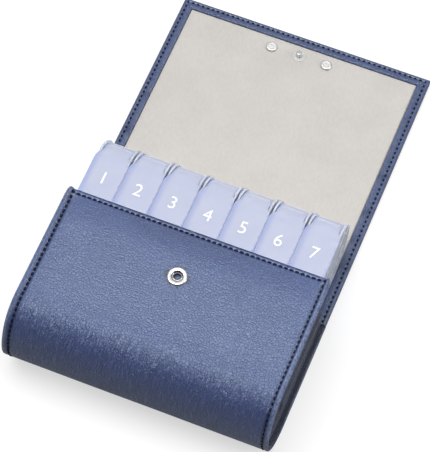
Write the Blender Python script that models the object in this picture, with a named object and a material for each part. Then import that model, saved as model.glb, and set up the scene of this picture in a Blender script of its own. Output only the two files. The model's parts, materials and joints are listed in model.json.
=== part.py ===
"""Weekly pill organiser: a leather-look pouch with a folding flap and seven boxes with sliding lids.

The pouch lies on its back with the flap open. X runs across the pouch, Y from the pouch's rounded
bottom to the flap's far end, Z up. The origin is the middle of the base.
"""
import math

import bmesh
import bpy
from mathutils import Matrix, Vector

MM = 0.001

# Pouch
POUCH_WIDTH = 140.0 * MM
POUCH_DEPTH = 47.0 * MM
MOUTH_Y = 84.6 * MM
LEATHER = 1.4 * MM
BOARD = 0.8 * MM
LINING = 0.6 * MM
LAYER_GAP = 0.3 * MM
HEM_WIDTH = 6.0 * MM
CORNER_RADIUS = 4.0 * MM
BOARD_INSET = 1.6 * MM
BOARD_MARGIN = 2.5 * MM

# Gusset, the folded side wall
GUSSET_SKIN = 1.0 * MM
GUSSET_FLANGE = 3.6 * MM
GUSSET_BULGE = 1.9 * MM
GUSSET_MOUTH_DIP = 7.0 * MM
EDGE_INSET = 0.2 * MM

# Boxes
BOX_COUNT = 7
COMPARTMENTS = 4
BOX_SPACING = 1.0 * MM
BOX_SIDE_ROOM = 1.25 * MM
BOX_LENGTH = 121.0 * MM
BOX_DRAFT = 0.8 * MM
FOOT_Y = 5.0 * MM
BOX_GAP = 0.3 * MM
WALL = 1.0 * MM
FLOOR = 1.1 * MM
DIVIDER = 1.1 * MM
END_RAMP = 6.0 * MM

# Lid and the rails that it runs on
LID_THICK = 1.3 * MM
LID_DROP = 1.1 * MM
LID_DROP_ANGLE = math.radians(40)
LID_END_INSET = 1.4 * MM
LID_NOSE = 0.15 * MM
LID_CORNER = 5.5 * MM
LID_SETBACK = 0.8 * MM
LID_END_ANGLE = math.radians(78)
LID_START_ANGLE = math.radians(1.5)
RUN_GAP = 0.3 * MM
LIP = 0.8 * MM
LIP_REACH = 0.85 * MM
HOOK_THICK = 1.0 * MM
HOOK_REACH = 0.8 * MM
HOOK_PLAY = 0.4 * MM
WEB = 0.8 * MM
RAIL_END_GAP = 1.0 * MM
THUMB_RIB = 0.6 * MM
THUMB_RIB_ANGLE = math.radians(40)
THUMB_RIB_HALF = math.radians(2)

# Flap: four folds of equal angle wrap it round the ends of the boxes
FOLD_COUNT = 4
FOLD_ANGLE = math.pi / FOLD_COUNT
FOLD_CLEARANCE = 0.6 * MM
FOLD_GAP = 0.3 * MM
STUD_TO_END = 12.5 * MM

# Press stud: socket on the front panel, stud on the flap
SOCKET_Y = 57.5 * MM
SOCKET_RADIUS = 5.0 * MM
SOCKET_HOLE = 2.9 * MM
SOCKET_HEIGHT = 1.0 * MM
SOCKET_EDGE = 0.35 * MM
SPRING_WIRE = 0.25 * MM
SPRING_RADIUS = 2.35 * MM
SPRING_OPENING = math.radians(120)
EYELET_RADIUS = 2.5 * MM
EYELET_BORE = 2.1 * MM
EYELET_FLANGE = 5.4 * MM
STUD_HEIGHT = 3.6 * MM
STUD_HEAD = 1.6 * MM
STUD_HEAD_HEIGHT = 1.8 * MM
STUD_NECK = 1.1 * MM
STUD_FOOT = 4.0 * MM
STUD_BASE = 4.2 * MM

# Rivets and the plain plate that they hold on the outside of the flap
RIVET_INSET = 5.5 * MM
RIVET_CAP = 3.0 * MM
RIVET_CAP_HEIGHT = 1.0 * MM
RIVET_CAP_SHELL = 0.4 * MM
RIVET_POST = 0.9 * MM
DOME_SHARES = ((1, 0.25), (0.85, 0.7), (0.5, 0.95), (0, 1))
PLATE_LENGTH = 42.0 * MM
PLATE_WIDTH = 12.0 * MM
PLATE_THICK = 0.5 * MM
PLATE_CORNER = 2.5 * MM
PLATE_RECESS = 0.1 * MM

# Fineness of round shapes, where they turn sharp, and an overrun for cuts
ARC_STEPS = 16
ROLL_STEPS = 20
TURN_STEPS = 32
WIRE_STEPS = 8
HEAD_STEPS = 6
CORNER_STEPS = 5
NOSE_STEPS = 40
SHARP_ANGLE = math.radians(35)
ROUND_SHARE = 0.5
OVERRUN = 2.0 * MM

# Places worked out from the sizes above
FACE_Z = LEATHER + LAYER_GAP + BOARD + LAYER_GAP + LINING
LINING_Z = FACE_Z - LINING
BOARD_Z = LEATHER + LAYER_GAP
HALF_WIDTH = POUCH_WIDTH / 2
HEM_EDGE = HALF_WIDTH - HEM_WIDTH
ROLL_RADIUS = POUCH_DEPTH / 2
BOX_RADIUS = ROLL_RADIUS - FACE_Z - BOX_GAP
BOX_TOP = ROLL_RADIUS + BOX_RADIUS
BOX_BOTTOM = ROLL_RADIUS - BOX_RADIUS
FOOT_CENTRE = FOOT_Y + BOX_RADIUS
END_CENTRE = FOOT_Y + BOX_LENGTH - BOX_RADIUS
LID_UNDER = BOX_TOP - LID_THICK
RIM_Z = LID_UNDER - RUN_GAP
LIP_Z = RIM_Z - LIP
HOOK_TOP = LIP_Z - HOOK_PLAY
HOOK_BOTTOM = HOOK_TOP - HOOK_THICK
LID_START = FOOT_CENTRE - LID_SETBACK
GUSSET_WALL_X = HALF_WIDTH - EDGE_INSET - GUSSET_FLANGE
BOX_PITCH = (2 * (GUSSET_WALL_X - BOX_SIDE_ROOM) + BOX_SPACING) / BOX_COUNT
BOX_HALF = (BOX_PITCH - BOX_SPACING) / 2
CAVITY_HALF = BOX_HALF - WALL
LIP_EDGE = CAVITY_HALF - LIP_REACH
WEB_OUTER = LIP_EDGE - RUN_GAP
WEB_INNER = WEB_OUTER - WEB
LID_END_HALF = BOX_HALF - LID_END_INSET
LID_END_RADIUS = BOX_RADIUS - LID_DROP
LID_SEAT_RADIUS = LID_END_RADIUS - LID_THICK - RUN_GAP
END_WALL_RADIUS = LID_SEAT_RADIUS - WALL
DIVIDER_PITCH = (END_CENTRE - LID_START) / COMPARTMENTS
GUSSET_MOUTH = MOUTH_Y - CORNER_RADIUS

# The flap's lining face closes over the boxes on four tangent lines, one for each fold
SOCKET_TOP = POUCH_DEPTH + LAYER_GAP + SOCKET_HEIGHT
CLOSED_Z = SOCKET_TOP + LAYER_GAP
WRAP_RADIUS = BOX_RADIUS + FOLD_CLEARANCE
FOLD_REACH = WRAP_RADIUS / math.cos(FOLD_ANGLE)
FOLD_A_Y = END_CENTRE + FOLD_REACH - (ROLL_RADIUS - FACE_Z)
WRAP_TIP_Y = END_CENTRE + WRAP_RADIUS
FOLD_D_CLOSED_Y = END_CENTRE + FOLD_REACH - (CLOSED_Z - ROLL_RADIUS)
LOW_STRIP = (WRAP_TIP_Y - FOLD_A_Y) / math.cos(FOLD_ANGLE)
TOP_STRIP = (WRAP_TIP_Y - FOLD_D_CLOSED_Y) / math.cos(FOLD_ANGLE)
MID_STRIP = CLOSED_Z - FACE_Z - (LOW_STRIP + TOP_STRIP) * math.sin(FOLD_ANGLE)
FOLD_B_Y = FOLD_A_Y + LOW_STRIP
FOLD_C_Y = FOLD_B_Y + MID_STRIP
FOLD_D_Y = FOLD_C_Y + TOP_STRIP
STUD_Y = FOLD_D_Y + FOLD_D_CLOSED_Y - SOCKET_Y
FLAP_END = STUD_Y + STUD_TO_END
MIDDLE_Y = FLAP_END / 2

BODY_AXES = {
    "pouch": Vector((0, 0, 0)),
    "fold_a": Vector((0, FOLD_A_Y, FACE_Z)),
    "fold_b": Vector((0, FOLD_B_Y, FACE_Z)),
    "fold_c": Vector((0, FOLD_C_Y, FACE_Z)),
    "fold_d": Vector((0, FOLD_D_Y, FACE_Z)),
}
EMPTIES = {}
MATERIALS = {}


def clear_scene():
    """Remove whatever the scene holds."""
    for item in list(bpy.data.objects):
        bpy.data.objects.remove(item, do_unlink=True)


def make_material(name, color, roughness, metallic=0.0, alpha=1.0):
    """Make one Principled material and keep it by name."""
    material = bpy.data.materials.new(name)
    material.use_nodes = True
    shader = material.node_tree.nodes["Principled BSDF"]
    shader.inputs["Base Color"].default_value = (*color, 1.0)
    shader.inputs["Roughness"].default_value = roughness
    shader.inputs["Metallic"].default_value = metallic
    shader.inputs["Alpha"].default_value = alpha
    MATERIALS[name] = material


def make_materials():
    """Make every finish of the organiser."""
    make_material("leather", (0.10, 0.13, 0.24), 0.5)
    make_material("gusset_leather", (0.03, 0.04, 0.07), 0.6)
    make_material("lining", (0.68, 0.66, 0.63), 0.9)
    make_material("board", (0.45, 0.40, 0.33), 0.9)
    make_material("nickel", (0.75, 0.75, 0.76), 0.2, 1.0)
    make_material("pale_nylon", (0.80, 0.80, 0.80), 0.4)
    make_material("tray_plastic", (0.62, 0.60, 0.64), 0.2, 0.0, 0.6)
    make_material("lid_plastic", (0.58, 0.62, 0.83), 0.25)


def make_empty(name, parent, place):
    """Add an empty that carries one moving body, at its joint's axis."""
    empty = bpy.data.objects.new(name, None)
    empty.parent = parent
    empty.location = place
    bpy.context.scene.collection.objects.link(empty)
    return empty


def make_empties():
    """Chain the empties: the pouch, then the four folds of the flap."""
    origin = make_empty("organiser_origin", None, Vector((0, -MIDDLE_Y, 0)))
    parent = origin
    before = Vector((0, 0, 0))
    for body, axis in BODY_AXES.items():
        EMPTIES[body] = make_empty(body + "_axis", parent, axis - before)
        parent = EMPTIES[body]
        before = axis


def finish_mesh(name, bm, material):
    """Turn a bmesh into a mesh with its faces outwards, smooth but for its sharp edges."""
    bmesh.ops.recalc_face_normals(bm, faces=bm.faces[:])
    mesh = bpy.data.meshes.new(name)
    bm.to_mesh(mesh)
    bm.free()
    mesh.shade_smooth()
    mesh.set_sharp_from_angle(angle=SHARP_ANGLE)
    mesh.materials.append(MATERIALS[material])
    return mesh


def add_piece(name, mesh, body):
    """Add a mesh made in the pouch's own frame to the body that carries it."""
    piece = bpy.data.objects.new(name, mesh)
    bpy.context.scene.collection.objects.link(piece)
    mesh.transform(Matrix.Translation(-BODY_AXES[body]))
    piece.parent = EMPTIES[body]
    return piece


def loose_object(name, mesh):
    """Add an object with no parent, to be cut or to cut with."""
    item = bpy.data.objects.new(name, mesh)
    bpy.context.scene.collection.objects.link(item)
    return item


def combined(name, base_mesh, steps):
    """Apply Boolean steps, each an operation and a mesh, and return the resulting mesh."""
    base = loose_object(name, base_mesh)
    tools = []
    for operation, mesh in steps:
        tool = loose_object(name + "_tool", mesh)
        tool.hide_render = True
        tool.display_type = "WIRE"
        step = base.modifiers.new(operation.lower(), "BOOLEAN")
        step.operation = operation
        step.solver = "EXACT"
        step.object = tool
        tools.append(tool)
    depsgraph = bpy.context.evaluated_depsgraph_get()
    result = bpy.data.meshes.new_from_object(base.evaluated_get(depsgraph))
    result.name = name
    for item in [base, *tools]:
        bpy.data.objects.remove(item, do_unlink=True)
    result.shade_smooth()
    result.set_sharp_from_angle(angle=SHARP_ANGLE)
    return result


def prism(name, outline, low, high, material, axis="X", narrowing=None):
    """Extrude a closed outline of (u, v) points along an axis, between two places on it.

    Along X the outline lies in (y, z), along Y in (x, z) and along Z in (x, y). narrowing gives,
    for a point's v, how much each end is drawn in.
    """
    bm = bmesh.new()
    ends = []
    for place, sign in ((low, 1), (high, -1)):
        ring = []
        for u, v in outline:
            w = place + sign * (narrowing(v) if narrowing else 0)
            point = {"X": (w, u, v), "Y": (u, w, v), "Z": (u, v, w)}[axis]
            ring.append(bm.verts.new(point))
        ends.append(ring)
    bm.faces.new(ends[0])
    bm.faces.new(list(reversed(ends[1])))
    count = len(outline)
    for i in range(count):
        j = (i + 1) % count
        bm.faces.new((ends[0][i], ends[1][i], ends[1][j], ends[0][j]))
    return finish_mesh(name, bm, material)


def block(name, x_range, y_range, z_range, material):
    """Make a box from its ranges along the three axes."""
    (y0, y1), (z0, z1) = y_range, z_range
    outline = [(y0, z0), (y1, z0), (y1, z1), (y0, z1)]
    return prism(name, outline, x_range[0], x_range[1], material)


def arc(centre_y, centre_z, radius, start, end, steps):
    """Points on an arc in (y, z), with angles from straight up towards +Y."""
    points = []
    for i in range(steps + 1):
        angle = start + (end - start) * i / steps
        points.append((centre_y + radius * math.sin(angle), centre_z + radius * math.cos(angle)))
    return points


def turned(name, profile, x, y, material, steps=TURN_STEPS):
    """Turn a closed profile of (r, z) points about the upright line at (x, y)."""
    bm = bmesh.new()
    rings = []
    for radius, z in profile:
        if radius == 0:
            rings.append([bm.verts.new((x, y, z))])
            continue
        ring = []
        for i in range(steps):
            angle = 2 * math.pi * i / steps
            ring.append(bm.verts.new((x + radius * math.cos(angle), y + radius * math.sin(angle), z)))
        rings.append(ring)
    for first, second in zip(rings, rings[1:] + rings[:1]):
        if len(first) == 1 and len(second) == 1:
            continue
        for i in range(steps):
            j = (i + 1) % steps
            corners = [first[i % len(first)], first[j % len(first)]]
            corners += [second[j % len(second)], second[i % len(second)]]
            bm.faces.new(list(dict.fromkeys(corners)))
    return finish_mesh(name, bm, material)


def wrap_outline(offset, thickness, front_y, back_y):
    """Outline of one layer of the pouch: front panel, rounded bottom and back panel.

    offset is how far the layer's outer face lies inside the leather's outer face.
    """
    outer = ROLL_RADIUS - offset
    inner = outer - thickness
    centre = ROLL_RADIUS
    outside = [(front_y, centre + outer)]
    outside += arc(centre, centre, outer, 2 * math.pi, math.pi, ROLL_STEPS)
    outside += [(back_y, centre - outer)]
    inside = [(back_y, centre - inner)]
    inside += arc(centre, centre, inner, math.pi, 2 * math.pi, ROLL_STEPS)
    inside += [(front_y, centre + inner)]
    return outside + inside


def round_front_corners(mesh):
    """Round the two free corners of the front panel."""
    bm = bmesh.new()
    bm.from_mesh(mesh)
    corners = []
    for edge in bm.edges:
        a, b = (vert.co for vert in edge.verts)
        upright = abs(a.z - b.z) > LEATHER / 2 and abs(a.y - b.y) < LAYER_GAP
        at_mouth = abs(a.y - MOUTH_Y) < LAYER_GAP and a.z > ROLL_RADIUS
        if upright and at_mouth and abs(abs(a.x) - HALF_WIDTH) < LAYER_GAP:
            corners.append(edge)
    bmesh.ops.bevel(bm, geom=corners, offset=CORNER_RADIUS, segments=CORNER_STEPS, profile=ROUND_SHARE, affect="EDGES")
    bm.to_mesh(mesh)
    bm.free()


def hem_outline(sign, root_z):
    """Cross-section of the leather's edge, turned up and over the lining, in (x, z)."""
    outer = sign * HALF_WIDTH
    return [
        (outer, root_z),
        (outer, FACE_Z),
        (sign * HEM_EDGE, FACE_Z),
        (sign * HEM_EDGE, LINING_Z),
        (sign * (HALF_WIDTH - LEATHER), LINING_Z),
        (sign * (HALF_WIDTH - LEATHER), root_z),
    ]


def build_shell():
    """Outer leather of the pouch, in one piece from the front panel's edge to the first fold."""
    outline = wrap_outline(0, LEATHER, MOUTH_Y, FOLD_A_Y - FOLD_GAP / 2)
    mesh = prism("outer_shell", outline, -HALF_WIDTH, HALF_WIDTH, "leather")
    round_front_corners(mesh)
    hem_start = GUSSET_MOUTH + LAYER_GAP
    steps = []
    for sign in (-1, 1):
        hem = prism("hem", hem_outline(sign, LEATHER / 2), hem_start, FOLD_A_Y - FOLD_GAP / 2,
                    "leather", "Y")
        steps.append(("UNION", hem))
    hole_z = (POUCH_DEPTH - LEATHER - OVERRUN, POUCH_DEPTH + OVERRUN)
    hole = disc("socket_hole", EYELET_RADIUS + LAYER_GAP, 0, SOCKET_Y, hole_z)
    steps.append(("DIFFERENCE", hole))
    add_piece("outer_shell", combined("outer_shell", mesh, steps), "pouch")


def disc(name, radius, x, y, z_range, material="leather"):
    """Make a plain upright cylinder."""
    low, high = z_range
    return turned(name, [(0, low), (radius, low), (radius, high), (0, high)], x, y, material)


def build_pocket_lining():
    """Fabric inside the pocket, down the front, round the bottom and up the back."""
    offset = LEATHER + LAYER_GAP + BOARD + LAYER_GAP
    outline = wrap_outline(offset, LINING, MOUTH_Y - BOARD_MARGIN, FOLD_A_Y - FOLD_GAP / 2)
    half = HEM_EDGE - LAYER_GAP
    add_piece("pocket_lining", prism("pocket_lining", outline, -half, half, "lining"), "pouch")


def board_mesh(name, y_range, z_range, holes=()):
    """A stiffening board with round holes, each given as radius, x and y."""
    half = HALF_WIDTH - LEATHER - BOARD_INSET
    mesh = block(name, (-half, half), y_range, z_range, "board")
    steps = []
    for radius, x, y in holes:
        cut = disc("board_hole", radius, x, y, (z_range[0] - OVERRUN, z_range[1] + OVERRUN))
        steps.append(("DIFFERENCE", cut))
    return combined(name, mesh, steps)


def build_pouch_boards():
    """The boards that keep the front and the back of the pouch flat."""
    front_z = (POUCH_DEPTH - BOARD_Z - BOARD, POUCH_DEPTH - BOARD_Z)
    front_y = (ROLL_RADIUS, MOUTH_Y - BOARD_MARGIN)
    half = HEM_EDGE
    mesh = block("front_board", (-half, half), front_y, front_z, "board")
    cut_z = (front_z[0] - OVERRUN, front_z[1] + OVERRUN)
    hole = disc("board_hole", EYELET_FLANGE + LAYER_GAP, 0, SOCKET_Y, cut_z)
    add_piece("front_board", combined("front_board", mesh, [("DIFFERENCE", hole)]), "pouch")
    back_y = (ROLL_RADIUS, FOLD_A_Y - FOLD_GAP / 2)
    back = block("back_board", (-half, half), back_y, (BOARD_Z, BOARD_Z + BOARD), "board")
    add_piece("back_board", back, "pouch")


def build_gusset(name, sign):
    """A side wall with a flange all round and a ridge folded outwards along its middle."""
    outer = ROLL_RADIUS - LEATHER - LAYER_GAP
    inner = outer - GUSSET_SKIN
    wall_x = GUSSET_WALL_X
    edge_x = HALF_WIDTH - EDGE_INSET
    ridge_y = GUSSET_MOUTH - GUSSET_MOUTH_DIP
    bm = bmesh.new()

    def point(x, y, z):
        return bm.verts.new((sign * x, y, z))

    def rim(radius, x):
        places = [(GUSSET_MOUTH, ROLL_RADIUS + radius)]
        places += arc(ROLL_RADIUS, ROLL_RADIUS, radius, 2 * math.pi, math.pi, ROLL_STEPS)
        places += [(GUSSET_MOUTH, ROLL_RADIUS - radius)]
        return [point(x, y, z) for y, z in places]

    flange_out = rim(outer, edge_x)
    wall_in = rim(outer, wall_x)
    flange_in = rim(inner, edge_x)
    wall_out = rim(inner, wall_x + GUSSET_SKIN)
    middles = []
    for x in (wall_x + GUSSET_BULGE, wall_x + GUSSET_BULGE + GUSSET_SKIN):
        middles.append((point(x, ridge_y, ROLL_RADIUS), point(x, ROLL_RADIUS, ROLL_RADIUS)))
    last = len(wall_in) - 1
    for i in range(last):
        bm.faces.new((flange_out[i], flange_out[i + 1], wall_in[i + 1], wall_in[i]))
        bm.faces.new((flange_out[i], flange_out[i + 1], flange_in[i + 1], flange_in[i]))
        bm.faces.new((flange_in[i], flange_in[i + 1], wall_out[i + 1], wall_out[i]))
    for ring, (mouth, heart) in ((wall_in, middles[0]), (wall_out, middles[1])):
        bm.faces.new((ring[0], ring[1], heart, mouth))
        bm.faces.new((ring[last], ring[last - 1], heart, mouth))
        for i in range(1, last - 1):
            bm.faces.new((ring[i], ring[i + 1], heart))
    for i in (0, last):
        bm.faces.new((flange_out[i], wall_in[i], wall_out[i], flange_in[i]))
        bm.faces.new((wall_in[i], middles[0][0], middles[1][0], wall_out[i]))
    add_piece(name, finish_mesh(name, bm, "gusset_leather"), "pouch")


def hemmed_outline():
    """Cross-section of the flap's leather, with both edges turned over the lining, in (x, z)."""
    right = hem_outline(1, LEATHER)
    left = [(-x, z) for x, z in reversed(right)]
    return [(HALF_WIDTH, 0), *right[1:], *left[:-1], (-HALF_WIDTH, 0)]


def build_strip(name, body, start, end):
    """One strip of the flap between two folds: leather, board and lining."""
    y_range = (start + FOLD_GAP / 2, end - FOLD_GAP / 2)
    leather = prism(name + "_leather", hemmed_outline(), y_range[0], y_range[1], "leather", "Y")
    add_piece(name + "_leather", leather, body)
    board = board_mesh(name + "_board", y_range, (BOARD_Z, BOARD_Z + BOARD))
    add_piece(name + "_board", board, body)
    half = HEM_EDGE - LAYER_GAP
    lining = block(name + "_lining", (-half, half), y_range, (LINING_Z, FACE_Z), "lining")
    add_piece(name + "_lining", lining, body)


def rivet_places():
    """X places of the two rivets."""
    reach = PLATE_LENGTH / 2 - RIVET_INSET
    return (-reach, reach)


def rounded_rectangle(length, width, radius, steps=CORNER_STEPS):
    """Outline of a rectangle with round corners, in (x, y) about the press stud."""
    points = []
    for turn, (sx, sy) in enumerate(((1, 1), (-1, 1), (-1, -1), (1, -1))):
        for i in range(steps + 1):
            angle = math.pi / 2 * (turn + i / steps)
            x = sx * (length / 2 - radius) + radius * math.cos(angle)
            y = sy * (width / 2 - radius) + radius * math.sin(angle)
            points.append((x, STUD_Y + y))
    return points


def build_flap_front():
    """The flap's last panel, with the turned edge along its end and the seats of its fittings."""
    start = FOLD_D_Y + FOLD_GAP / 2
    leather = prism("flap_leather", hemmed_outline(), start, FLAP_END, "leather", "Y")
    end_hem = [
        (FLAP_END, LEATHER / 2),
        (FLAP_END, FACE_Z),
        (FLAP_END - HEM_WIDTH, FACE_Z),
        (FLAP_END - HEM_WIDTH, LINING_Z),
        (FLAP_END - LEATHER, LINING_Z),
        (FLAP_END - LEATHER, LEATHER / 2),
    ]
    steps = [("UNION", prism("end_hem", end_hem, -HALF_WIDTH, HALF_WIDTH, "leather"))]
    seat_depth = PLATE_RECESS + PLATE_THICK + LAYER_GAP
    seat = rounded_rectangle(PLATE_LENGTH + 2 * LAYER_GAP, PLATE_WIDTH + 2 * LAYER_GAP,
                             PLATE_CORNER + LAYER_GAP)
    steps.append(("DIFFERENCE", prism("plate_seat", seat, -OVERRUN, seat_depth, "leather", "Z")))
    for x in rivet_places():
        hole = disc("rivet_hole", RIVET_POST + LAYER_GAP, x, STUD_Y, (-OVERRUN, LEATHER + LAYER_GAP / 2))
        steps.append(("DIFFERENCE", hole))
    add_piece("flap_leather", combined("flap_leather", leather, steps), "fold_d")
    board_end = FLAP_END - LEATHER - BOARD_INSET
    holes = [(RIVET_POST + LAYER_GAP, x, STUD_Y) for x in rivet_places()]
    holes.append((STUD_FOOT + LAYER_GAP, 0, STUD_Y))
    board = board_mesh("flap_board", (start, board_end), (BOARD_Z, BOARD_Z + BOARD), holes)
    add_piece("flap_board", board, "fold_d")
    half = HEM_EDGE - LAYER_GAP
    lining = block("flap_lining", (-half, half), (start, FLAP_END - HEM_WIDTH - LAYER_GAP),
                   (LINING_Z, FACE_Z), "lining")
    cut_z = (LINING_Z - LAYER_GAP / 2, FACE_Z + OVERRUN)
    steps = []
    for radius, x in ((RIVET_POST, rivet_places()[0]), (RIVET_POST, rivet_places()[1]), (STUD_BASE, 0)):
        steps.append(("DIFFERENCE", disc("lining_hole", radius + LAYER_GAP, x, STUD_Y, cut_z)))
    add_piece("flap_lining", combined("flap_lining", lining, steps), "fold_d")


def build_socket():
    """The press stud's lower half on the front panel: ring, spring and eyelet."""
    low = POUCH_DEPTH + LAYER_GAP
    ring = [
        (SOCKET_HOLE, low),
        (SOCKET_RADIUS, low),
        (SOCKET_RADIUS, SOCKET_TOP - SOCKET_EDGE),
        (SOCKET_RADIUS - SOCKET_EDGE, SOCKET_TOP),
        (SOCKET_HOLE + SOCKET_EDGE, SOCKET_TOP),
        (SOCKET_HOLE, SOCKET_TOP - SOCKET_EDGE),
    ]
    add_piece("socket_ring", turned("socket_ring", ring, 0, SOCKET_Y, "nickel"), "pouch")
    flange_high = POUCH_DEPTH - BOARD_Z
    eyelet = [
        (EYELET_BORE, flange_high - BOARD),
        (EYELET_FLANGE, flange_high - BOARD),
        (EYELET_FLANGE, flange_high),
        (EYELET_RADIUS, flange_high),
        (EYELET_RADIUS, POUCH_DEPTH),
        (EYELET_BORE, POUCH_DEPTH),
    ]
    add_piece("socket_eyelet", turned("socket_eyelet", eyelet, 0, SOCKET_Y, "nickel"), "pouch")
    add_piece("socket_spring", spring_mesh((low + SOCKET_TOP) / 2), "pouch")


def spring_mesh(height):
    """The open ring of wire inside the socket, with closed ends."""
    bm = bmesh.new()
    rings = []
    first = math.pi / 2 + SPRING_OPENING / 2
    last = first + 2 * math.pi - SPRING_OPENING
    for i in range(TURN_STEPS + 1):
        angle = first + (last - first) * i / TURN_STEPS
        ring = []
        for k in range(WIRE_STEPS):
            turn = 2 * math.pi * k / WIRE_STEPS
            radius = SPRING_RADIUS + SPRING_WIRE * math.cos(turn)
            x = radius * math.cos(angle)
            y = SOCKET_Y + radius * math.sin(angle)
            ring.append(bm.verts.new((x, y, height + SPRING_WIRE * math.sin(turn))))
        rings.append(ring)
    for a, b in zip(rings, rings[1:]):
        for k in range(WIRE_STEPS):
            j = (k + 1) % WIRE_STEPS
            bm.faces.new((a[k], a[j], b[j], b[k]))
    bm.faces.new(rings[0])
    bm.faces.new(rings[-1])
    return finish_mesh("socket_spring", bm, "nickel")


def build_stud():
    """The press stud's upper half on the flap: a headed pin on a foot, and its pale washer."""
    top = FACE_Z + STUD_HEIGHT
    throat = top - STUD_HEAD_HEIGHT
    foot = BOARD_Z + BOARD
    pin = [
        (0, BOARD_Z),
        (STUD_FOOT, BOARD_Z),
        (STUD_FOOT, foot),
        (STUD_NECK, foot),
        (STUD_NECK, throat),
    ]
    for i in range(1, HEAD_STEPS):
        turn = math.pi * i / HEAD_STEPS
        round_radius = STUD_NECK + (STUD_HEAD - STUD_NECK) * math.sin(turn)
        pin.append((round_radius, throat + STUD_HEAD_HEIGHT * i / HEAD_STEPS))
    pin += [(STUD_NECK, top), (0, top)]
    add_piece("stud_pin", turned("stud_pin", pin, 0, STUD_Y, "nickel"), "fold_d")
    base = [
        (STUD_NECK + LAYER_GAP, LINING_Z),
        (STUD_BASE, LINING_Z),
        (STUD_BASE, FACE_Z),
        (STUD_NECK + LAYER_GAP, FACE_Z),
    ]
    add_piece("stud_base", turned("stud_base", base, 0, STUD_Y, "pale_nylon"), "fold_d")


def build_rivets():
    """Two domed caps on the lining, pressed on the posts of the plain plate outside."""
    low = FACE_Z + LAYER_GAP
    high = low + RIVET_CAP_HEIGHT
    profile = [(RIVET_POST + LAYER_GAP, low), (RIVET_CAP, low)]
    for radius_share, height_share in DOME_SHARES:
        profile.append((RIVET_CAP * radius_share, low + RIVET_CAP_HEIGHT * height_share))
    profile += [(0, high - RIVET_CAP_SHELL), (RIVET_POST + LAYER_GAP, high - RIVET_CAP_SHELL)]
    for side, x in zip(("left", "right"), rivet_places()):
        cap = turned("rivet_cap", profile, x, STUD_Y, "nickel", TURN_STEPS // 2)
        add_piece("rivet_cap_" + side, cap, "fold_d")
    outline = rounded_rectangle(PLATE_LENGTH, PLATE_WIDTH, PLATE_CORNER)
    plate_top = PLATE_RECESS + PLATE_THICK
    plate = prism("flap_plate", outline, PLATE_RECESS, plate_top, "nickel", "Z")
    post_top = high - RIVET_CAP_SHELL - LAYER_GAP
    steps = []
    for x in rivet_places():
        post = turned("post", [(0, plate_top - PLATE_THICK / 2), (RIVET_POST, plate_top - PLATE_THICK / 2),
                               (RIVET_POST, post_top), (0, post_top)], x, STUD_Y, "nickel", TURN_STEPS // 2)
        steps.append(("UNION", post))
    add_piece("flap_plate", combined("flap_plate", plate, steps), "fold_d")


def stadium(start, end, radius):
    """Side outline of a box: straight top and bottom, and round ends, in (y, z)."""
    points = arc(start, ROLL_RADIUS, radius, math.pi, 2 * math.pi, ARC_STEPS)
    return points + arc(end, ROLL_RADIUS, radius, 0, math.pi, ARC_STEPS)


def draft(z):
    """How much a side wall is drawn in at height z, none at the top and all at the bottom."""
    return BOX_DRAFT * (BOX_TOP - z) / (BOX_TOP - BOX_BOTTOM)


def divider_places():
    """Middle of each divider along the box."""
    return [LID_START + DIVIDER_PITCH * k for k in range(1, COMPARTMENTS)]


def cavity_outline(index):
    """Side outline of one compartment, in (y, z)."""
    floor = BOX_BOTTOM + FLOOR
    places = divider_places()
    if index == 0:
        radius = BOX_RADIUS - FLOOR
        end = 2 * math.pi - math.acos((LIP_Z - ROLL_RADIUS) / radius)
        points = arc(FOOT_CENTRE, ROLL_RADIUS, radius, math.pi, end, ARC_STEPS)
    else:
        start = places[index - 1] + DIVIDER / 2
        points = [(start, floor), (start, LIP_Z)]
    if index == COMPARTMENTS - 1:
        points += [(END_CENTRE, LIP_Z)]
        points += arc(END_CENTRE, ROLL_RADIUS, END_WALL_RADIUS, 0, math.pi, ARC_STEPS)
        points += [(END_CENTRE - END_RAMP, floor)]
    else:
        end = places[index] - DIVIDER / 2
        points += [(end, LIP_Z), (end, floor)]
    return points


def slot_range(index):
    """Where one compartment is open at the top, along the box."""
    places = divider_places()
    start = LID_START if index == 0 else places[index - 1] + DIVIDER / 2
    end = END_CENTRE if index == COMPARTMENTS - 1 else places[index] - DIVIDER / 2
    return start, end


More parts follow.
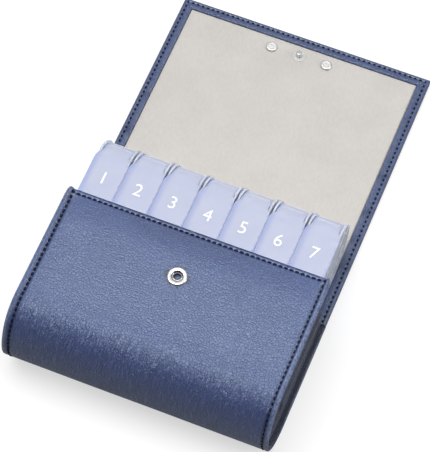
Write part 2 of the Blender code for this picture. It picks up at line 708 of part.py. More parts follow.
def tray_mesh():
    """The clear tray: a rounded box with four compartments, and lips that hold the lid's hooks."""
    half = BOX_HALF
    body = prism("tray", stadium(FOOT_CENTRE, END_CENTRE, BOX_RADIUS), -half, half, "tray_plastic",
                 narrowing=draft)
    cuts = []
    far = END_CENTRE + BOX_RADIUS + OVERRUN
    wide = (-half - OVERRUN, half + OVERRUN)
    start = LID_START - RUN_GAP
    cuts.append(block("rim_cut", wide, (start, far), (RIM_Z, BOX_TOP + OVERRUN), "tray_plastic"))
    seat_half = LID_END_HALF + RUN_GAP
    seat_end = LID_END_ANGLE + RUN_GAP / LID_SEAT_RADIUS
    seat = arc(END_CENTRE, ROLL_RADIUS, LID_SEAT_RADIUS, 0, seat_end, ARC_STEPS)
    seat += arc(END_CENTRE, ROLL_RADIUS, BOX_RADIUS + OVERRUN, seat_end, 0, ARC_STEPS)
    cuts.append(prism("seat_cut", seat, -seat_half, seat_half, "tray_plastic"))
    for index in range(COMPARTMENTS):
        cavity = prism("cavity", cavity_outline(index), -CAVITY_HALF, CAVITY_HALF, "tray_plastic",
                       narrowing=draft)
        cuts.append(cavity)
        slot_z = (LIP_Z - LIP, RIM_Z + OVERRUN)
        cuts.append(block("slot", (-LIP_EDGE, LIP_EDGE), slot_range(index), slot_z, "tray_plastic"))
    notch_z = (HOOK_BOTTOM - RUN_GAP, LIP_Z)
    run = (LID_START, END_CENTRE)
    for sign in (-1, 1):
        deep = sorted((sign * (WEB_INNER - RUN_GAP), sign * (CAVITY_HALF - draft(HOOK_BOTTOM))))
        cuts.append(block("hook_notch", deep, run, notch_z, "tray_plastic"))
        cuts.append(block("end_notch", deep, (END_CENTRE - RUN_GAP, far), (notch_z[0], BOX_TOP + OVERRUN),
                          "tray_plastic"))
        web = sorted((sign * (WEB_INNER - RUN_GAP), sign * LIP_EDGE))
        cuts.append(block("web_notch", web, run, (LIP_Z - LIP / 2, RIM_Z + OVERRUN), "tray_plastic"))
    return combined("tray", body, [("DIFFERENCE", cut) for cut in cuts])


def lid_radius(angle):
    """Outer radius of the lid's curved end, which sinks smoothly below the box's own end."""
    share = min(1, angle / LID_DROP_ANGLE)
    return BOX_RADIUS - LID_DROP * share * share * (3 - 2 * share)


def lid_arc(start, end, steps, raised=0):
    """Points on the lid's outer curve in (y, z), raised by a height above it."""
    points = []
    for i in range(steps + 1):
        angle = start + (end - start) * i / steps
        points += arc(END_CENTRE, ROLL_RADIUS, lid_radius(angle) + raised, angle, angle, 1)[:1]
    return points


def nose_angle():
    """Angle at which the lid's outer curve comes down to its flat plate's nose."""
    low, high = 0, LID_DROP_ANGLE
    for _ in range(NOSE_STEPS):
        angle = (low + high) / 2
        if lid_radius(angle) * math.cos(angle) > LID_UNDER + LID_NOSE - ROLL_RADIUS:
            low = angle
        else:
            high = angle
    return low


def lid_mesh():
    """The lid: a flat top, two hooked rails under it, and a narrower end curved down over the box."""
    nose = lid_arc(0, nose_angle(), ARC_STEPS // 2)
    nose_y = nose[-1][0]
    top = [(LID_START, LID_UNDER), (LID_START, BOX_TOP), *nose, (nose_y, LID_UNDER)]
    plate = prism("lid", top, -BOX_HALF, BOX_HALF, "lid_plastic")
    plan = []
    for i in range(CORNER_STEPS + 1):
        turn = math.pi / 2 * i / CORNER_STEPS
        x = LID_END_HALF + (BOX_HALF - LID_END_HALF + LAYER_GAP / 2) * math.cos(turn)
        plan.append((x, nose_y - LID_CORNER + LID_CORNER * math.sin(turn)))
    far_side = [(-x, y) for x, y in reversed(plan)]
    back = LID_START - OVERRUN
    plan = [(plan[0][0], back), *plan, *far_side, (-plan[0][0], back)]
    keep = prism("lid_plan", plan, LID_UNDER - OVERRUN, BOX_TOP + OVERRUN, "lid_plastic", "Z")
    shell = [(LID_START, LID_UNDER), (LID_START, BOX_TOP)]
    shell += nose
    shell += lid_arc(nose_angle(), THUMB_RIB_ANGLE - 2 * THUMB_RIB_HALF, ARC_STEPS // 2)[1:]
    shell += lid_arc(THUMB_RIB_ANGLE - THUMB_RIB_HALF, THUMB_RIB_ANGLE + THUMB_RIB_HALF, 1, THUMB_RIB)
    shell += lid_arc(THUMB_RIB_ANGLE + 2 * THUMB_RIB_HALF, LID_END_ANGLE, ARC_STEPS // 2)
    shell += arc(END_CENTRE, ROLL_RADIUS, LID_END_RADIUS - LID_THICK, LID_END_ANGLE,
                 LID_START_ANGLE, ARC_STEPS)
    shell += [(shell[-1][0], LID_UNDER)]
    middle = prism("lid_shell", shell, -LID_END_HALF, LID_END_HALF, "lid_plastic")
    steps = [("INTERSECT", keep), ("UNION", middle)]
    run = (LID_START + RAIL_END_GAP, END_CENTRE - RAIL_END_GAP)
    sunk = LID_UNDER + LID_THICK / 2
    for sign in (-1, 1):
        rail = [
            (sign * WEB_INNER, sunk),
            (sign * WEB_INNER, HOOK_BOTTOM),
            (sign * (WEB_OUTER + HOOK_REACH), HOOK_BOTTOM),
            (sign * (WEB_OUTER + HOOK_REACH), HOOK_TOP),
            (sign * WEB_OUTER, HOOK_TOP),
            (sign * WEB_OUTER, sunk),
        ]
        steps.append(("UNION", prism("rail", rail, run[0], run[1], "lid_plastic", "Y")))
    return combined("lid", plate, steps)


def build_boxes():
    """Seven boxes side by side, each a tray on its own slide with a lid on a slide of its own."""
    home = Vector((0, FOOT_CENTRE, ROLL_RADIUS))
    tray = tray_mesh()
    lid = lid_mesh()
    for mesh in (tray, lid):
        mesh.transform(Matrix.Translation(-home))
    for number in range(1, BOX_COUNT + 1):
        x = (number - (BOX_COUNT + 1) / 2) * BOX_PITCH
        slide = make_empty("box_slide_%d" % number, EMPTIES["pouch"], home + Vector((x, 0, 0)))
        lid_slide = make_empty("lid_slide_%d" % number, slide, Vector((0, 0, 0)))
        for name, mesh, carrier in (("tray", tray, slide), ("lid", lid, lid_slide)):
            piece = loose_object("%s_%d" % (name, number), mesh)
            piece.parent = carrier


def main():
    """Build the organiser."""
    clear_scene()
    make_materials()
    make_empties()
    build_shell()
    build_pocket_lining()
    build_pouch_boards()
    build_gusset("gusset_left", -1)
    build_gusset("gusset_right", 1)
    build_strip("low_strip", "fold_a", FOLD_A_Y, FOLD_B_Y)
    build_strip("mid_strip", "fold_b", FOLD_B_Y, FOLD_C_Y)
    build_strip("top_strip", "fold_c", FOLD_C_Y, FOLD_D_Y)
    build_flap_front()
    build_socket()
    build_stud()
    build_rivets()
    build_boxes()


main()
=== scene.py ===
"""Dresses the weekly pill organiser's solids: leather, lining, stitching, metal and clear boxes.

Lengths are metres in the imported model's own frame: X across the pouch, Y from its rounded bottom to
the flap's far end, Z up. "Along" is measured on the leather's outer face from the pocket's mouth,
down the front panel, round the roll and along the back to the flap's end. "Side" is the distance
from the pouch's side edge. "Depth" goes from the outer face inwards, to the lining.
"""

import json
import logging
import math
from dataclasses import dataclass, field
from enum import Enum
from typing import Callable, Optional, Protocol, Sequence, Union

import bmesh
import bpy
import numpy as np
from mathutils import Matrix, Vector

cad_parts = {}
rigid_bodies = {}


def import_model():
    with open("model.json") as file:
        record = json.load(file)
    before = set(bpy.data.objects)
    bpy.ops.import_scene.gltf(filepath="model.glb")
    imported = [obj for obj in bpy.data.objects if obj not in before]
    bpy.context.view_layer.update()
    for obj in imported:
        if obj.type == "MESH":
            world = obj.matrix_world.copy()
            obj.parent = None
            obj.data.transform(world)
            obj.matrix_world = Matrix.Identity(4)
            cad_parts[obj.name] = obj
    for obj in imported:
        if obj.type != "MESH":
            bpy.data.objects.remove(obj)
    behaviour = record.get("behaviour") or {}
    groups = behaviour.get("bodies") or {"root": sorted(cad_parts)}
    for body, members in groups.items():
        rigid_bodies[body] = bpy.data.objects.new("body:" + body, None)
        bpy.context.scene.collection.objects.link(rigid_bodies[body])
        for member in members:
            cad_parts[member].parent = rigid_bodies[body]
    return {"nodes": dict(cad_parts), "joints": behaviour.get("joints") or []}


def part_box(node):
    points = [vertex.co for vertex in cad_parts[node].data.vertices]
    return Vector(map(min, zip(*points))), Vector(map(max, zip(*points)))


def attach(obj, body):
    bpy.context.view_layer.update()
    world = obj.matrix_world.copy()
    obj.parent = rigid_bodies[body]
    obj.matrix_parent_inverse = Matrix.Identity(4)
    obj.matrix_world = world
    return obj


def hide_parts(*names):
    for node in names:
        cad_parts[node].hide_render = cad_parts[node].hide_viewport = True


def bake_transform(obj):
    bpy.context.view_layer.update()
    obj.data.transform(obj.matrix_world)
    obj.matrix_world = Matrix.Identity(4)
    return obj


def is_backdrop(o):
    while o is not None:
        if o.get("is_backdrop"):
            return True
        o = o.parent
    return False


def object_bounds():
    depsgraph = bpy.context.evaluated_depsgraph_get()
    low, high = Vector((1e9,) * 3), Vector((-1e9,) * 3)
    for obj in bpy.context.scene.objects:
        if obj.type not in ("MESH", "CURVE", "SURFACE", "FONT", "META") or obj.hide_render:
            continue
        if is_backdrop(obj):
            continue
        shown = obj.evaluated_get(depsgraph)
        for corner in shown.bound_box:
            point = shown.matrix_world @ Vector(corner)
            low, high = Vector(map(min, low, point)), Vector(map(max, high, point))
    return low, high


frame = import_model()

Array = np.ndarray
Depth = Callable[[Array, Array], Array]
Material, Mesh, Object = bpy.types.Material, bpy.types.Mesh, bpy.types.Object
Node, NodeTree, Socket = bpy.types.Node, bpy.types.NodeTree, bpy.types.NodeSocket
Sockets = bpy.types.bpy_prop_collection
Value = Union[float, Sequence[float], Socket]
log = logging.getLogger("organiser")
MM = 0.001
CLOSE = 0.02 * MM  # places along or across a sheet that lie nearer than this count as one
MERGE = 0.002 * MM  # points of joined patches that lie nearer than this are one
# Names of the marks: lengths over the surface, nearness to an edge, stretch, painted shade (darker
# seams, borders, mouth and pleats, and a shadow round the socket's ring), and lost gloss.
PLAN, EDGE, BEND, PAINTED_SHADE, DULL = "plan", "edge", "bend", "seam", "dull"
BLACK, WHITE = (0.0, 0.0, 0.0, 1.0), (1.0, 1.0, 1.0, 1.0)


# Numbers on arrays


def mm(*lengths: float) -> tuple[float, ...]:
    """Lengths given in millimetres, as metres."""
    return tuple(length * MM for length in lengths)


def linear(red: float, green: float, blue: float) -> tuple[float, ...]:
    """The linear colour of a reading on the 0 to 255 scale.

    Args:
        red, green, blue: the reading.

    Returns:
        Red, green, blue and a full alpha.
    """
    value = np.array((red, green, blue)) / 255.0
    value = np.where(value <= 0.04045, value / 12.92, ((value + 0.055) / 1.055) ** 2.4)
    return (*value.tolist(), 1.0)


def together(*parts: Array) -> Array:
    """Arrays spread to one shape and laid side by side on a new last axis."""
    return np.stack(np.broadcast_arrays(*parts), axis=-1)


def ramp(start: float, end: float, value: Array) -> Array:
    """Smooth step: 0 at start, 1 at end, t * t * (3 - 2 t) between, t the share of the way.

    Args:
        start, end: where the step starts and ends; start may be the larger.
        value: what is stepped.

    Returns:
        The step's height at each value.
    """
    share = np.clip((np.asarray(value, float) - start) / (end - start), 0.0, 1.0)
    return share * share * (3.0 - 2.0 * share)


def hump(place: Array, width: Array, value: Array) -> Array:
    """Bell curve: e to the power of minus the square of (value - place) / width."""
    return np.exp(-(((np.asarray(value, float) - place) / width) ** 2))


def rounding(distance: Array, radius: Array) -> Array:
    """How deep a quarter-round edge lies at a distance from the edge: r - sqrt(r^2 - (r - e)^2).

    Args:
        distance: distance from the edge, in the plan.
        radius: radius of the rounding.

    Returns:
        The depth, from the radius at the edge to nothing past it.
    """
    inside = np.clip(radius - distance, 0.0, radius)
    return radius - np.sqrt(np.clip(radius**2 - inside**2, 0.0, None))


def round_steps(radius: float, count: int) -> Array:
    """Distances from an edge that draw its quarter round evenly: r (1 - cos t)."""
    return radius * (1.0 - np.cos(np.linspace(0.0, math.pi / 2, count)))


def spaced(start: float, end: float, step: float) -> Array:
    """Evenly spaced places from start to end, no further apart than about the step."""
    return np.linspace(start, end, max(2, int(round(abs(end - start) / step)) + 1))


def around(count: int) -> Array:
    """Evenly spaced angles once round, the first not repeated."""
    return np.linspace(0.0, 2 * math.pi, count, endpoint=False)


def stations(*runs: Array) -> Array:
    """Sorted places from several runs, without those that lie close to the one before."""
    places = np.sort(np.concatenate(runs))
    return places[np.concatenate(([True], np.diff(places) > CLOSE))]


def between(start: float, end: float, *runs: Array) -> Array:
    """The start, the stations of several runs that lie well inside, and the end."""
    places = stations(*runs)
    inside = (places > start + CLOSE) & (places < end - CLOSE)
    return np.concatenate(([start], places[inside], [end]))


def mirrored(distances: Array, half_width: float) -> Array:
    """Shares from -1 to 1 across a sheet, from distances from its side edges."""
    side = 1.0 - distances / half_width
    return np.unique(np.round(np.concatenate((side, -side)), 9))


# Meshes from arrays


def over_surface(points: Array) -> Array:
    """Lengths over a grid: the running length along each row from its middle, and down a column.

    Args:
        points: (n, m, 3) places.

    Returns:
        (n, m, 2) lengths.
    """
    across = np.linalg.norm(np.diff(points, axis=1), axis=-1)
    across = np.concatenate((np.zeros((len(points), 1)), np.cumsum(across, axis=1)), axis=1)
    across -= across[:, across.shape[1] // 2][:, None]
    down = np.linalg.norm(np.diff(points[:, 0], axis=0), axis=-1)
    return together(across, np.concatenate(([0.0], np.cumsum(down)))[:, None])


@dataclass
class Patch:
    """A grid of points with its plan and its marks, ready to be joined with others.

    Attributes:
        points: (n, m, 3) places.
        plan: (n, m, 2) lengths over the surface, for its patterns; measured if not given.
        marks: named values over the grid, such as nearness to an edge.
        closed: True if the last column joins the first.
    """

    points: Array
    plan: Optional[Array] = None
    marks: dict[str, Array] = field(default_factory=dict)
    closed: bool = False

    def __post_init__(self) -> None:
        """Measure the plan if it isn't given."""
        if self.plan is None:
            self.plan = over_surface(self.points)

    def faces(self) -> Array:
        """Quads between neighbouring rows and columns.

        Returns:
            (k, 4) indices into the flattened grid.
        """
        rows, columns = self.points.shape[:2]
        index = np.arange(rows * columns).reshape(rows, columns)
        if self.closed:
            index = np.concatenate((index, index[:, :1]), axis=1)
        corners = (index[:-1, :-1], index[:-1, 1:], index[1:, 1:], index[1:, :-1])
        return together(*corners).reshape(-1, 4)

    def mark(self, name: str) -> Array:
        """One mark of every point, 0 where the patch has none."""
        return np.broadcast_to(self.marks.get(name, 0.0), self.points.shape[:2]).ravel()


def clean(mesh: Mesh, reach: float, sharp: float = 0.0, flat: float = 0.0) -> None:
    """Join a mesh's coinciding points, turn its faces outwards and smooth its shading.

    Args:
        mesh: the mesh.
        reach: how near two points coincide.
        sharp: the angle in degrees past which an edge is drawn sharp; 0 keeps faces flat.
        flat: the angle in degrees up to which an edge is dropped; 0 keeps every edge.
    """
    tool = bmesh.new()
    tool.from_mesh(mesh)
    bmesh.ops.remove_doubles(tool, verts=tool.verts[:], dist=reach)
    if flat:
        limit = math.radians(flat)
        bmesh.ops.dissolve_limit(tool, angle_limit=limit, verts=tool.verts[:], edges=tool.edges[:])
    bmesh.ops.recalc_face_normals(tool, faces=tool.faces[:])
    tool.to_mesh(mesh)
    tool.free()
    if sharp:
        mesh.shade_smooth()
        mesh.set_sharp_from_angle(angle=math.radians(sharp))


def linked(name: str, data: Optional[bpy.types.ID]) -> Object:
    """A new object with its data, at the origin of the scene."""
    made = bpy.data.objects.new(name, data)
    bpy.context.scene.collection.objects.link(made)
    return made


def dress(thing: Object, material: Material) -> Object:
    """Give an object one material.

    Args:
        thing: the object.
        material: its finish.

    Returns:
        The object.
    """
    thing.data.materials.clear()
    thing.data.materials.append(material)
    return thing


def piece_from(
    name: str, patches: Sequence[Patch], material: Material, sharp: float = 50.0
) -> Object:
    """Join patches into one mesh object, close its seams and turn its faces outwards.

    Args:
        name: the piece's name.
        patches: its grids.
        material: its finish.
        sharp: the angle in degrees past which an edge is drawn sharp.

    Returns:
        The object, at the origin, with its place in its mesh.
    """
    points = [patch.points.reshape(-1, 3) for patch in patches]
    starts = np.cumsum([0] + [len(part) for part in points])
    faces = [patch.faces() + start for patch, start in zip(patches, starts)]
    mesh = bpy.data.meshes.new(name)
    mesh.from_pydata(np.concatenate(points).tolist(), [], np.concatenate(faces).tolist())
    corner = np.zeros(len(mesh.loops), np.int32)
    mesh.loops.foreach_get("vertex_index", corner)
    plan = np.concatenate([patch.plan.reshape(-1, 2) for patch in patches])[corner]
    mesh.uv_layers.new(name=PLAN).uv.foreach_set("vector", plan.astype(np.float32).ravel())
    for mark in sorted({key for patch in patches for key in patch.marks}):
        values = np.concatenate([patch.mark(mark) for patch in patches]).astype(np.float32)
        mesh.attributes.new(mark, "FLOAT", "POINT").data.foreach_set("value", values)
    clean(mesh, MERGE, sharp)
    return dress(linked(name, mesh), material)


def softened(corners: Sequence[tuple[float, float]], radius: float) -> list:
    """A profile whose inner corners are rounded by a quadratic curve through each corner's sides.

    Point = (1 - t)^2 a + 2 t (1 - t) corner + t^2 b, a and b one radius before and after it.

    Args:
        corners: the (radius, height) pairs; the first and the last stay as they are.
        radius: how far before and after a corner the curve starts and ends.

    Returns:
        The rounded profile.
    """
    points = np.array(corners, float)
    t = np.linspace(0.0, 1.0, 5)[:, None]
    result = [points[:1]]
    for before, corner, after in zip(points, points[1:], points[2:]):
        sides = [(other - corner, np.linalg.norm(other - corner)) for other in (before, after)]
        a, b = (corner + side / size * min(radius, size / 2) for side, size in sides)
        result.append((1 - t) ** 2 * a + 2 * t * (1 - t) * corner + t**2 * b)
    return np.concatenate((*result, points[-1:])).tolist()


def lathed(profile: Sequence[tuple[float, float]], x: float, y: float, steps: int = 72) -> Patch:
    """A profile turned about the upright line at (x, y).

    Point (i, k) = (x + r_i cos t_k, y + r_i sin t_k, z_i), t_k the k-th of even turns.

    Args:
        profile: the (radius, height) pairs, in millimetres.
        x, y: where the line stands, in metres.
        steps: how many turns.

    Returns:
        The surface, closed round the line.
    """
    radius, height = (np.array(profile, float).T * MM)[..., None]
    turn = around(steps)
    points = together(x + radius * np.cos(turn), y + radius * np.sin(turn), height)
    return Patch(points, closed=True)


# Materials


class Effect(Enum):
    """Surface effects that several finishes share, each one node group."""

    PEBBLE = "pebbled_grain"
    CREASE = "stretch_creases"
    WEAVE = "woven_cloth"
    WEAR = "edge_wear"
    SMUDGE = "handling_smudges"


class Graph:
    """Adds nodes to one node tree and links them."""

    def __init__(self, tree: NodeTree) -> None:
        """Keep the tree."""
        self.tree = tree

    def fill(self, node: Node, inputs: dict) -> None:
        """Give a node's inputs, by name or number, plain values or other nodes' sockets.

        Args:
            node: the node.
            inputs: a value or a socket for each.
        """
        for key, value in inputs.items():
            if isinstance(value, Socket):
                self.tree.links.new(value, node.inputs[key])
            else:
                node.inputs[key].default_value = value

    def node(self, kind: str, inputs: Optional[dict] = None, **settings: object) -> Node:
        """Add a node.

        Args:
            kind: the node's type.
            inputs: its inputs.
            settings: its other settings.

        Returns:
            The node.
        """
        node = self.tree.nodes.new(kind)
        for key, value in settings.items():
            setattr(node, key, value)
        self.fill(node, inputs or {})
        return node

    def add(self, kind: str, inputs: dict, output: int = 0, **settings: object) -> Socket:
        """Add a node and give one of its outputs."""
        return self.node(kind, inputs, **settings).outputs[output]

    def effect(self, effect: Effect, **inputs: Value) -> Sockets:
        """Place a shared effect with this material's own values, and give its outputs."""
        tree = bpy.data.node_groups[effect.value]
        return self.node("ShaderNodeGroup", inputs, node_tree=tree).outputs

    def math(self, operation: str, first: Value, second: Value = 0.0) -> Socket:
        """One step of arithmetic on two numbers."""
        return self.add("ShaderNodeMath", {0: first, 1: second}, operation=operation)

    def plus(self, first: Value, *others: Value) -> Value:
        """The sum of several values."""
        for other in others:
            first = self.math("ADD", first, other)
        return first

    def times(self, first: Value, *others: Value) -> Value:
        """The product of several values."""
        for other in others:
            first = self.math("MULTIPLY", first, other)
        return first

    def inverse(self, value: Value) -> Socket:
        """1 less a value."""
        return self.math("SUBTRACT", 1.0, value)

    def span(self, value: Value, low: float, high: float, to: tuple = (0.0, 1.0)) -> Socket:
        """Carry a value from the range low to high smoothly into another range."""
        inputs = {0: value, 1: low, 2: high, 3: to[0], 4: to[1]}
        return self.add("ShaderNodeMapRange", inputs, interpolation_type="SMOOTHSTEP")

    def blend(self, share: Value, first: Value, second: Value) -> Socket:
        """Mix two colours by a share."""
        return self.add("ShaderNodeMix", {0: share, 6: first, 7: second}, 2, data_type="RGBA")

    def noise(
        self, vector: Value, size: Value, detail: float = 2.0, rough: float = 0.5, output: int = 0
    ) -> Socket:
        """Soft noise whose lumps are about a given size.

        Args:
            vector: the place.
            size: the lumps' size, in metres.
            detail, rough: how many finer layers it has, and how strong each is.
            output: 0 for its height, 1 for three heights as a colour.

        Returns:
            The noise.
        """
        scale = self.math("DIVIDE", 1.0, size) if isinstance(size, Socket) else 1.0 / size
        inputs = {"Vector": vector, "Scale": scale, "Detail": detail, "Roughness": rough}
        return self.add("ShaderNodeTexNoise", inputs, output)

    def stretched(self, vector: Value, x: float, y: float) -> Socket:
        """Multiply a vector's first two parts."""
        inputs = {0: vector, 1: (x, y, 1.0)}
        return self.add("ShaderNodeVectorMath", inputs, operation="MULTIPLY")

    def bump(self, height: Value, strength: float = 1.0) -> Socket:
        """The surface's slope from a height in metres."""
        inputs = {"Strength": strength, "Distance": 1.0, "Height": height}
        return self.add("ShaderNodeBump", inputs)

    def plan(self) -> Socket:
        """The piece's own lengths over its surface."""
        return self.add("ShaderNodeUVMap", {}, uv_map=PLAN)

    def place(self) -> Socket:
        """The place in the piece's own frame."""
        return self.node("ShaderNodeTexCoord").outputs["Object"]

    def mark(self, name: str) -> Socket:
        """One of the piece's own marks."""
        return self.node("ShaderNodeAttribute", attribute_name=name).outputs["Fac"]

    def worn(self, vector: Value, colour: Value, worn: Value, amount: float) -> Socket:
        """A colour that gives way to another near the piece's edges."""
        shares = {"Edge": self.mark(EDGE), "Amount": amount}
        return self.effect(Effect.WEAR, Vector=vector, Color=colour, Worn=worn, **shares)["Color"]

    def smudge(self, vector: Value, patch: float, amount: float) -> Socket:
        """Handling smudges, in patches of a given size."""
        return self.effect(Effect.SMUDGE, Vector=vector, Patch=patch, Amount=amount)["Mask"]


class Effects:
    """The shared effects, each built once as a node group with named sockets."""

    def __init__(self) -> None:
        """Build all the groups."""
        self.group(Effect.PEBBLE, self.pebble, Pebble=0.9 * MM, Unevenness=0.4)
        self.group(Effect.CREASE, self.crease, Width=1.0 * MM, Length=8.0 * MM)
        self.group(Effect.WEAVE, self.weave, Thread=0.35 * MM, Slub=0.5)
        self.group(Effect.WEAR, self.wear, Color=None, Worn=None, Edge=0.0, Amount=0.5)
        self.group(Effect.SMUDGE, self.smudge, Patch=12 * MM, Amount=0.5)

    def group(self, effect: Effect, build: Callable, **inputs: Optional[float]) -> None:
        """Make one group.

        Args:
            effect: which effect.
            build: its builder.
            inputs: its numbers by name, each with its usual value; a colour has none.
        """
        tree = bpy.data.node_groups.new(effect.value, "ShaderNodeTree")
        add = tree.interface.new_socket
        add(name="Vector", in_out="INPUT", socket_type="NodeSocketVector")
        for name, value in inputs.items():
            kind = "NodeSocketColor" if value is None else "NodeSocketFloat"
            socket = add(name=name, in_out="INPUT", socket_type=kind)
            if value is not None:
                socket.default_value = value
        graph = Graph(tree)
        results = build(graph, graph.node("NodeGroupInput").outputs)
        for name in results:
            kind = "NodeSocketColor" if name == "Color" else "NodeSocketFloat"
            add(name=name, in_out="OUTPUT", socket_type=kind)
        graph.fill(graph.node("NodeGroupOutput"), results)

    @staticmethod
    def pebble(graph: Graph, given: Sockets) -> dict[str, Socket]:
        """Pebbled grain: rounded cells with fine valleys between them, and slow lumps.

        Args:
            graph, given: the group's graph and its inputs.

        Returns:
            Its outputs by name.
        """
        vector, size = given["Vector"], given["Pebble"]
        warp = graph.noise(vector, graph.times(size, 1 / 0.35), output=1)
        inputs = {0: warp, "Scale": graph.times(size, 1.8)}
        shift = graph.add("ShaderNodeVectorMath", inputs, operation="SCALE")
        moved = graph.add("ShaderNodeVectorMath", {0: vector, 1: shift})
        inputs = {"Vector": moved, "Scale": graph.math("DIVIDE", 1.0, size)}
        looks = {"feature": "DISTANCE_TO_EDGE", "voronoi_dimensions": "2D"}
        cells = graph.span(graph.add("ShaderNodeTexVoronoi", inputs, **looks), 0.0, 0.22)
        lumps = graph.noise(vector, graph.times(size, 1 / 0.3), 3.0)
        height = graph.plus(cells, graph.times(lumps, given["Unevenness"]))
        return {"Height": height, "Valley": graph.inverse(cells)}

    @staticmethod
    def crease(graph: Graph, given: Sockets) -> dict[str, Socket]:
        """Stretch creases: fine ridges that run along the bend, narrow across it.

        Args:
            graph, given: the group's graph and its inputs.

        Returns:
            Its outputs by name.
        """
        parts = graph.node("ShaderNodeSeparateXYZ", {0: given["Vector"]}).outputs
        x = graph.math("DIVIDE", parts[0], given["Width"])
        y = graph.math("DIVIDE", parts[1], given["Length"])
        vector = graph.add("ShaderNodeCombineXYZ", {0: x, 1: y})
        inputs = {"Vector": vector, "Scale": 1.0, "Detail": 3.0, "Distortion": 0.6}
        lumps = graph.add("ShaderNodeTexNoise", inputs)
        ridge = graph.math("ABSOLUTE", graph.math("SUBTRACT", lumps, 0.5))
        return {"Height": graph.span(ridge, 0.0, 0.16)}

    @staticmethod
    def weave(graph: Graph, given: Sockets) -> dict[str, Socket]:
        """Woven cloth: over and under threads, as the product of two waves, with slubs.

        Args:
            graph, given: the group's graph and its inputs.

        Returns:
            Its outputs by name.
        """
        parts = graph.node("ShaderNodeSeparateXYZ", {0: given["Vector"]}).outputs
        turns = [graph.math("DIVIDE", parts[axis], given["Thread"]) for axis in (0, 1)]
        waves = [graph.math("SINE", graph.times(turn, math.pi)) for turn in turns]
        cross = graph.times(*waves)
        slub = graph.noise(given["Vector"], graph.times(given["Thread"], 4.0), 4.0)
        height = graph.plus(cross, graph.times(slub, given["Slub"]))
        return {"Height": height, "Gap": graph.span(graph.math("ABSOLUTE", cross), 0.35, 0.0)}

    @staticmethod
    def wear(graph: Graph, given: Sockets) -> dict[str, Socket]:
        """Edge tint: where the edge mark is high, broken up by noise, another colour shows: lighter
        on the leather, partly rubbing and partly painted highlight; darker on the lining, as painted
        shade; bluer on the lids, as painted light.

        Args:
            graph, given: the group's graph and its inputs.

        Returns:
            Its outputs by name.
        """
        broken = graph.span(graph.noise(given["Vector"], 1.6 * MM, 4.0, 0.7), 0.38, 0.62)
        mask = graph.times(broken, given["Edge"], given["Amount"])
        return {"Color": graph.blend(mask, given["Color"], given["Worn"])}

    @staticmethod
    def smudge(graph: Graph, given: Sockets) -> dict[str, Socket]:
        """Handling smudges: broad soft patches with fine dust in them.

        Args:
            graph, given: the group's graph and its inputs.

        Returns:
            Its outputs by name.
        """
        broad = graph.span(graph.noise(given["Vector"], given["Patch"], 4.0, 0.6), 0.35, 0.7)
        fine = graph.span(graph.noise(given["Vector"], 0.5 * MM), 0.25, 0.75, (0.6, 1.0))
        return {"Mask": graph.times(broad, fine, given["Amount"])}


class Finish:
    """One finish: a material from its shader's inputs."""

    name: str

    def surface(self, graph: Graph) -> dict[str, Value]:
        """The shader's inputs by name: plain values, or sockets of patterns built in the graph."""
        raise NotImplementedError

    def build(self) -> Material:
        """Make the material.

        Returns:
            The material.
        """
        material = bpy.data.materials.new(self.name)
        material.use_nodes = True
        graph = Graph(material.node_tree)
        graph.fill(material.node_tree.nodes["Principled BSDF"], self.surface(graph))
        return material


